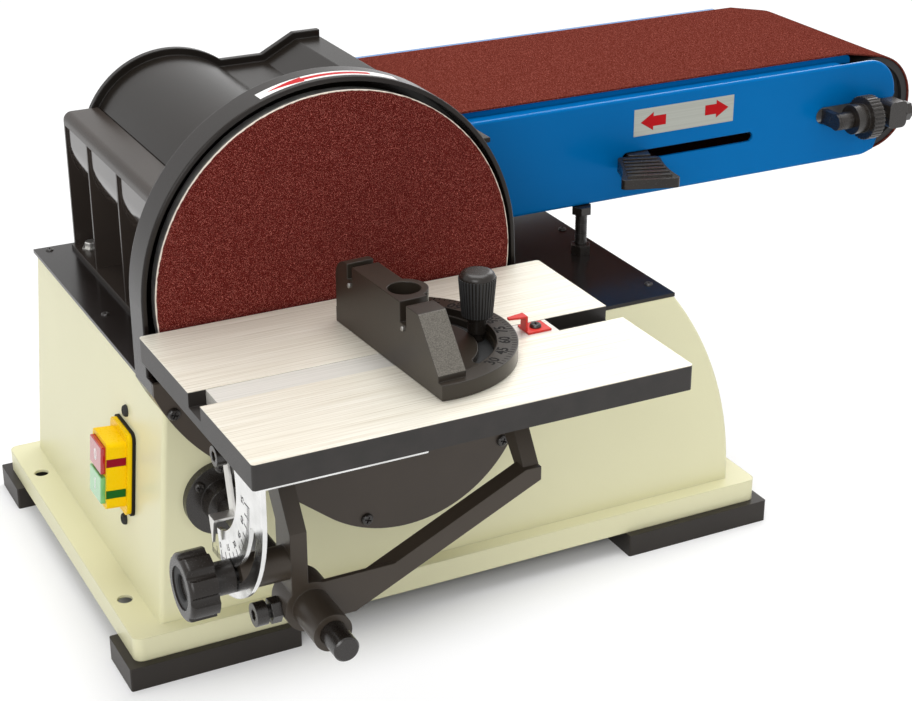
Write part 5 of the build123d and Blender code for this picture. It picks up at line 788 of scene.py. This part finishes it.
# %% Fence pins
SWIVEL = (-2.0, -93.8)
HEAD_TURN = radians(3.0)
FENCE_FACE = -11.3
head_right, head_back = (cos(HEAD_TURN), sin(HEAD_TURN), 0), (-sin(HEAD_TURN), cos(HEAD_TURN), 0)
head_frame = frame_at(place(*SWIVEL, 0), head_right, head_back)
fence_out = head_frame.to_3x3() @ Vector(LEFT)
pin_spots = [(head_frame @ (Vector((FENCE_FACE, along, height)) / 1000), fence_out)
             for along, height in ((43.8, 16.2), (-19.2, 13.5))]
pin_steel = machined("pin_steel", (0.34, 0.33, 0.31), (0.25, 0.24, 0.23), 0.40, EVEN)
set_heads("fence_pins", "mitre", pin_head, 3.0, pin_steel, pin_spots)
for shape in (pan_head, hex_head, pin_head):
    bpy.data.objects.remove(shape)

# %% [markdown]
# Scales and ribs are both bars at even angles round an axis, so one tree makes them all. It counts points, sends
# each to its angle, and puts a bar there: thin and almost flush for the lines of a scale, tall for the grip of a
# knob.

# %% Tree: spokes
spoking, given, result = geometry_tree(
    "spokes", {"Count": "NodeSocketInt", "Radius": VALUE, "Start": VALUE, "Step": VALUE, "Bar": VECTOR})
row = add_node(spoking, "GeometryNodePoints", {"Count": given["Count"]})
order = spoking.nodes.new("GeometryNodeInputIndex").outputs["Index"]
angle = arithmetic(spoking, "ADD", arithmetic(spoking, "MULTIPLY", order, given["Step"]), given["Start"])
spot = add_node(spoking, "ShaderNodeCombineXYZ", {
    axis: arithmetic(spoking, "MULTIPLY", arithmetic(spoking, wave, angle), given["Radius"])
    for axis, wave in (("X", "COSINE"), ("Y", "SINE"))})
circle = add_node(spoking, "GeometryNodeSetPosition", {"Geometry": row.outputs[0], "Position": spot.outputs[0]})
spin = add_node(spoking, "ShaderNodeCombineXYZ", {"Z": angle})
turn = add_node(spoking, "FunctionNodeEulerToRotation", {0: spin.outputs[0]})
bar = add_node(spoking, "GeometryNodeMeshCube", {"Size": given["Bar"]})
copies = add_node(spoking, "GeometryNodeInstanceOnPoints", {
    "Points": circle.outputs["Geometry"], "Instance": bar.outputs["Mesh"], "Rotation": turn.outputs[0]})
end_tree(spoking, copies.outputs["Instances"], given, result)

# %% [markdown]
# The protractor on the mitre head has dark lines and numbers, almost flush with the casting. Numbers run every fifteen
# degrees, with their feet outwards, so that they read from the front.

# %% Protractor
INK = coated("scale_ink", (0.004, 0.0035, 0.003), (0.006, 0.005, 0.005), 0.6, mirror=0.1)
RING_TOP, RING_MID, RING_EDGE = -3.19, 55.6, 62.2
NUMERAL_DEPTH = 0.00002


def spoke_ring(name, count, radius, start, step, bar, material=INK):
    """Bars round an axis, sizes in millimetres and angles in degrees."""
    return grow(name, bpy.data.meshes.new(name + "_carrier"), spoking, Count=count, Radius=radius / 1000,
                Start=radians(start), Step=radians(step), Bar=tuple(value / 1000 for value in bar), Finish=material)


def lettered(text, height, matrix):
    """A numeral as a mesh, height in millimetres, on a drawing plane."""
    curve = bpy.data.curves.new("numeral", "FONT")
    curve.body = text
    curve.size = height / 1000
    curve.align_x = "CENTER"
    curve.align_y = "CENTER"
    curve.resolution_u = 2
    curve.extrude = NUMERAL_DEPTH
    curve.offset = height / 40000
    mesh = mesh_of(put("numeral", curve), "numeral")
    mesh.transform(matrix)
    return mesh


def degree_scale(name, body, plane, rings, numbers, radius, height):
    """A scale on a drawing plane: rings of lines, and numbers of (angle, text) with their feet outwards."""
    marks = [spoke_ring("lines", *ring) for ring in rings]
    for angle, text in numbers:
        out = Matrix.Rotation(radians(angle), 4, "Z") @ Matrix.Translation((radius / 1000, 0, 0))
        marks.append(lettered(str(text), height, out @ Matrix.Rotation(pi / 2, 4, "Z")))
    scale = joined(name, marks)
    scale.transform(plane)
    add_piece(name, scale, body, INK)


ring_frame = head_frame @ Matrix.Translation((0, 0, RING_TOP / 1000))
degree_scale("protractor_scale", "mitre", ring_frame,
             [(41, RING_EDGE - 1.3, -60, 3, (2.6, 0.5, 0.06)), (9, RING_EDGE - 2.0, -60, 15, (4.0, 0.7, 0.08))],
             [(angle, 90 - abs(angle)) for angle in range(-60, 61, 15)], RING_MID, 9.0)

# %% [markdown]
# A thin black sheet closes the curved slot of the head from below. It is painted shade: it keeps the slot dark where
# the pale table would show through. It is a flat arc: a small oblong that is carried round the swivel.

# %% Painted shade under the slot
SHADE_SHEET_IN, SHADE_SHEET_OUT = 40.3, 50.1
SHADE_SHEET_FOOT, SHADE_SHEET_TOP = -12.15, -12.05
SHADE_SHEET_STEPS = 24
oblong = ((SHADE_SHEET_IN, SHADE_SHEET_FOOT), (SHADE_SHEET_OUT, SHADE_SHEET_FOOT), (SHADE_SHEET_OUT, SHADE_SHEET_TOP), (SHADE_SHEET_IN, SHADE_SHEET_TOP))
turns = [HEAD_TURN + radians(-52 + 104 * step / SHADE_SHEET_STEPS) for step in range(SHADE_SHEET_STEPS + 1)]
# Painted shade: this black sheet stands for the shade inside the slot.
shade_sheet = shell("slot_shim", [[place(SWIVEL[0] + radius * cos(turn), SWIVEL[1] + radius * sin(turn), height)
                            for radius, height in oblong] for turn in turns])
add_piece("slot_shim", shade_sheet, "mitre", plain_gasket)

# %% [markdown]
# The quadrant under the table is stamped with a degree scale beside its slot. Its axis is the table's pivot, and the
# face that carries the scale looks left.

# %% Quadrant scale
QUADRANT_PIVOT = (-115.72, -82.0, -55.0)
degree_scale("quadrant_scale", "table", frame_at(place(*QUADRANT_PIVOT), FRONT, UP),
             [(61, 58.6, -92, 1.5, (3.6, 0.55, 0.06)), (13, 56.8, -92, 7.5, (7.2, 0.8, 0.08))],
             [(angle, angle + 77) for angle in range(-77, 0, 15)], 50.5, 5.0)

# %% [markdown]
# The grip of the mitre knob is a cone with fine upright ribs. The spokes tree makes a straight ring of ribs, and a
# few lines of Python lean them to the cone. They take the plain finish that the frame brings for knobs.

# %% Knob ribs
KNOB_X, GRIP_FOOT, GRIP_TOP = 43.2, 3.6, 26.0
FOOT_RADIUS, TOP_RADIUS = 8.55, 10.3
RIBS = 34
plain_knob = bpy.data.materials["knob_plastic"]
ribs = spoke_ring("knob_ribs", RIBS, FOOT_RADIUS, 0, 360 / RIBS, (0.9, 0.95, GRIP_TOP - GRIP_FOOT), plain_knob)
for vertex in ribs.vertices:
    if vertex.co.z > 0:
        vertex.co.x *= TOP_RADIUS / FOOT_RADIUS
        vertex.co.y *= TOP_RADIUS / FOOT_RADIUS
ribs.transform(Matrix.Translation(place(KNOB_X, SWIVEL[1], (GRIP_FOOT + GRIP_TOP) / 2)))
add_piece("knob_ribs", ribs, "mitre_grip")

# %% [markdown]
# Screws that stay in sight need their thread. A thread is a small ridge that climbs round a rod, so the tree sweeps
# a triangle along a spiral curve. A bump texture would be lighter, but the ridge also shows in the outline.

# %% Tree: thread
threading, given, result = geometry_tree(
    "thread", {"Radius": VALUE, "Length": VALUE, "Turns": VALUE, "Depth": VALUE})
spiral = add_node(threading, "GeometryNodeCurveSpiral", {
    "Resolution": 18, "Rotations": given["Turns"], "Start Radius": given["Radius"], "End Radius": given["Radius"],
    "Height": given["Length"]})
ridge = add_node(threading, "GeometryNodeCurvePrimitiveCircle", {"Resolution": 3, "Radius": given["Depth"]})
sweep = add_node(threading, "GeometryNodeCurveToMesh", {
    "Curve": spiral.outputs["Curve"], "Profile Curve": ridge.outputs["Curve"], "Fill Caps": True})
end_tree(threading, sweep.outputs["Mesh"], given, result)


def threaded(name, body, start, direction, radius, length, pitch):
    """A thread on a rod that starts at a point and runs along a direction; sizes in millimetres."""
    mesh = grow(name, bpy.data.meshes.new(name + "_carrier"), threading, Radius=radius / 1000,
                Length=length / 1000, Turns=length / pitch, Depth=pitch / 3000, Finish=oxide)
    turn = Vector(UP).rotation_difference(Vector(direction)).to_matrix().to_4x4()
    mesh.transform(Matrix.Translation(place(*start)) @ turn)
    add_piece(name, mesh, body)


TRACK_AXIS = (103.2, 2.5)
threaded("tracking_thread", "carriage", (442.5, *TRACK_AXIS), (1, 0, 0), 5.9, 13.0, 1.6)
threaded("tracking_tail_thread", "carriage", (476.5, *TRACK_AXIS), (1, 0, 0), 2.9, 9.5, 1.2)
threaded("stop_thread", "base", (239.0, 121.45, -62.0), UP, 3.9, 21.0, 1.6)

# %% [markdown]
# The arm carries a silver sticker whose two red arrows show which way the lever tightens and frees the belt. Sticker
# and arrows are thin plates cut from an outline, each a hair in front of the one below.

# %% Sticker on the arm
ARM_FACE = 120.2


def plate_of(outline, thickness, matrix):
    """A flat plate with an outline in millimetres on a drawing plane."""
    mesh = shell("plate", [[Vector((x, y, z)) / 1000 for x, y in outline] for z in (0, thickness)])
    mesh.transform(matrix)
    return mesh


def oblong_of(left, right, foot, top):
    """The outline of an oblong."""
    return [(left, foot), (right, foot), (right, top), (left, top)]


def arrow(tip, tail, middle, half_head=6.6, half_shaft=3.7, head=10.5):
    """The outline of a flat arrow from tail to tip along x."""
    neck = tip - head if tip > tail else tip + head
    points = [(tail, -half_shaft), (neck, -half_shaft), (neck, -half_head), (tip, 0), (neck, half_head),
              (neck, half_shaft), (tail, half_shaft)]
    return [(x, middle + y) for x, y in points]


silver = machined("sticker_silver", (0.42, 0.43, 0.39), (0.39, 0.40, 0.36), 0.42, (3.0, 3.0, 900.0), edge=0.0001)
arrow_red = coated("arrow_red", (0.46, 0.004, 0.008), (0.42, 0.003, 0.006), 0.4, mirror=0.1)
arm_frame = frame_at(place(0, ARM_FACE, 0), (1, 0, 0), UP)
back = plate_of(oblong_of(279, 363, 10.4, 30.1), 0.12, arm_frame)
add_piece("lever_sticker", back, "arm", silver)
arrows = joined("lever_arrows", [plate_of(arrow(284.5, 305.5, 20.0), 0.2, arm_frame),
                                 plate_of(arrow(358.5, 338.5, 21.5), 0.2, arm_frame)])
add_piece("lever_arrows", arrows, "arm", arrow_red)

# %% [markdown]
# Two small castings on the arm are refined from the CAD model. The paddle of the lever widens towards the thumb, so
# a copy of its mesh is merged, drawn in at the arm and stretched and thinned at the lip. The lug of the tracking
# screw gets its slim, round-ended form.

# %% Paddle
LEVER_PIVOT, LEVER_TURN = (326.0, 246.0), radians(19.0)
PADDLE_DROP, PADDLE_SHIFT = 2.2, -1.1
WIDE_AT_ARM, WIDE_AT_LIP = 0.82, 1.16
THICK_AT_ARM, THICK_AT_LIP = 0.92, 0.68
lever_out = Vector((-sin(LEVER_TURN), -cos(LEVER_TURN), 0))
lever_across = Vector((cos(LEVER_TURN), -sin(LEVER_TURN), 0))
pivot = place(*LEVER_PIVOT, 0)
work = bmesh.new()
work.from_mesh(nodes["lever_paddle"].data)
bmesh.ops.remove_doubles(work, verts=work.verts, dist=0.00001)
reaches = [(vertex.co - pivot).dot(lever_out) for vertex in work.verts]
underside = min(vertex.co.z for vertex in work.verts)
for vertex, reach in zip(work.verts, reaches):
    share = (reach - min(reaches)) / (max(reaches) - min(reaches))
    widen = WIDE_AT_ARM + (WIDE_AT_LIP - WIDE_AT_ARM) * share
    thin = THICK_AT_ARM + (THICK_AT_LIP - THICK_AT_ARM) * share
    side = (vertex.co - pivot).dot(lever_across)
    vertex.co += lever_across * (side * (widen - 1) + PADDLE_SHIFT / 1000)
    vertex.co.z = underside - PADDLE_DROP / 1000 + (vertex.co.z - underside) * thin
paddle = shape_of(work, "thumb_paddle", turn_out=False)
paddle_finish = nodes["lever_paddle"].data.materials[0]
thumb = add_piece("thumb_paddle", paddle, "lever", paddle_finish)
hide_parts("lever_paddle")

# %% Lug
LUG_FACE, LUG_THICK, LUG_RADIUS, LUG_ROOT = 442.3, 5.0, 5.4, 119.9
rounding = arc(TRACK_AXIS, LUG_RADIUS, 90, 270, 12)
tab_outline = [(LUG_ROOT, rounding[0][1])] + rounding + [(LUG_ROOT, rounding[-1][1])]
tab = plate_of(tab_outline, LUG_THICK, frame_at(place(LUG_FACE, 0, 0), (0, 1, 0), UP))
lug = add_piece("tracking_tab", tab, "arm", oxide)
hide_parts("tracking_lug")

# %% [markdown]
# A white strip with a red arrow on the rim of the guard tells which way the disc turns. It bends round the rim, so
# it is drawn in angle and depth and wrapped round the axis.

# %% Arrow on the guard
RIM, BAND_ROOT, STRIP_DEPTH = 121.0, 0.3, 11.5


def rim_band(start, sweep, half_widths, proud):
    """A band on the rim from an angle through a sweep, with its half widths and its height over the rim."""
    sections = []
    for step, half in enumerate(half_widths):
        turn = radians(start + sweep * step / (len(half_widths) - 1))
        corners = ((RIM - BAND_ROOT, -half), (RIM - BAND_ROOT, half), (RIM + proud, half), (RIM + proud, -half))
        sections.append([place(radius * cos(turn), STRIP_DEPTH + side, radius * sin(turn))
                         for radius, side in corners])
    return shell("rim_band", sections)


strip_white = coated("strip_white", (0.82, 0.81, 0.79), (0.78, 0.77, 0.75), 0.35)
add_piece("turn_strip", rim_band(69, 41.5, [4.5] * 25, 0.04), "base", strip_white)
shaft = rim_band(77, 20, [2.0] * 13, 0.08)
point = rim_band(97, 11, [4.1 * (1 - step / 6) + 0.02 for step in range(7)], 0.08)
add_piece("turn_arrow", joined("turn_arrow", [shaft, point]), "base", arrow_red)

# %% [markdown]
# On the front side of the switch, a red and a green band mark the two keys. The keys carry a white 0 and 1; each
# sits on the outermost face of its key and moves with it.

# %% Switch bands
SWITCH = on_panel(97.0, -145.0)
BOX_SIDE, BOX_NEAR, BOX_FAR = 15.0, 5.0, 18.0
BAND_HALF, BAND_THICK = 2.8, 0.1
side_frame = SWITCH @ frame_at(Vector((BOX_SIDE / 1000, 0, 0)), (0, 0, -1), (0, 1, 0))
band_red = coated("band_red", (0.26, 0.003, 0.018), (0.22, 0.002, 0.015), 0.3, mirror=0.1)
band_green = coated("band_green", (0.010, 0.12, 0.014), (0.008, 0.10, 0.012), 0.3, mirror=0.1)
for title, middle, material, slot in (("stop_band", 10.0, band_red, "button_red"),
                                      ("start_band", -12.0, band_green, "button_green")):
    outline = oblong_of(-BOX_FAR, -BOX_NEAR, middle - BAND_HALF, middle + BAND_HALF)
    add_piece(title, plate_of(outline, BAND_THICK, side_frame), "base", material)

# %% Key marks
MARK = 11.0
for key, text, body in (("stop_button", "0", "stop_key"), ("start_button", "1", "start_key")):
    spots = [SWITCH.inverted() @ vertex.co for vertex in nodes[key].data.vertices]
    across = [spot.x for spot in spots]
    up = [spot.y for spot in spots]
    middle = Vector((min(across) + max(across), min(up) + max(up), 2 * max(spot.z for spot in spots))) / 2
    mark = lettered(text, MARK, SWITCH @ Matrix.Translation(middle))
    add_piece(text + "_mark", mark, body, strip_white)

# %% [markdown]
# The face of the tilt knob is dished, with a raised ring inside. The ring is turned from five points, round the axis
# that the knob's own box gives.

# %% Knob ring
RING_SIDES = 48
knob_low, knob_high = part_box("tilt_knob")
knob_face = Vector((knob_low.x, (knob_low.y + knob_high.y) / 2, (knob_low.z + knob_high.z) / 2))
section = ((12.4, -2.9), (12.4, -0.9), (8.4, -0.9), (7.6, -1.6), (7.6, -2.9))
turns = [2 * pi * side / RING_SIDES for side in range(RING_SIDES)]
ring = shell("knob_ring", [[Vector((radius * cos(turn), radius * sin(turn), height)) / 1000
                            for radius, height in section] for turn in turns], caps=(), closed=True)
ring.transform(frame_at(knob_face, FRONT, UP))
add_piece("knob_ring", ring, "knob", plain_knob)

# %% [markdown]
# The last cell prints the CAD nodes that were given no finish.

# %% Nodes left bare
print("bare nodes", sorted(set(nodes) - dressed))
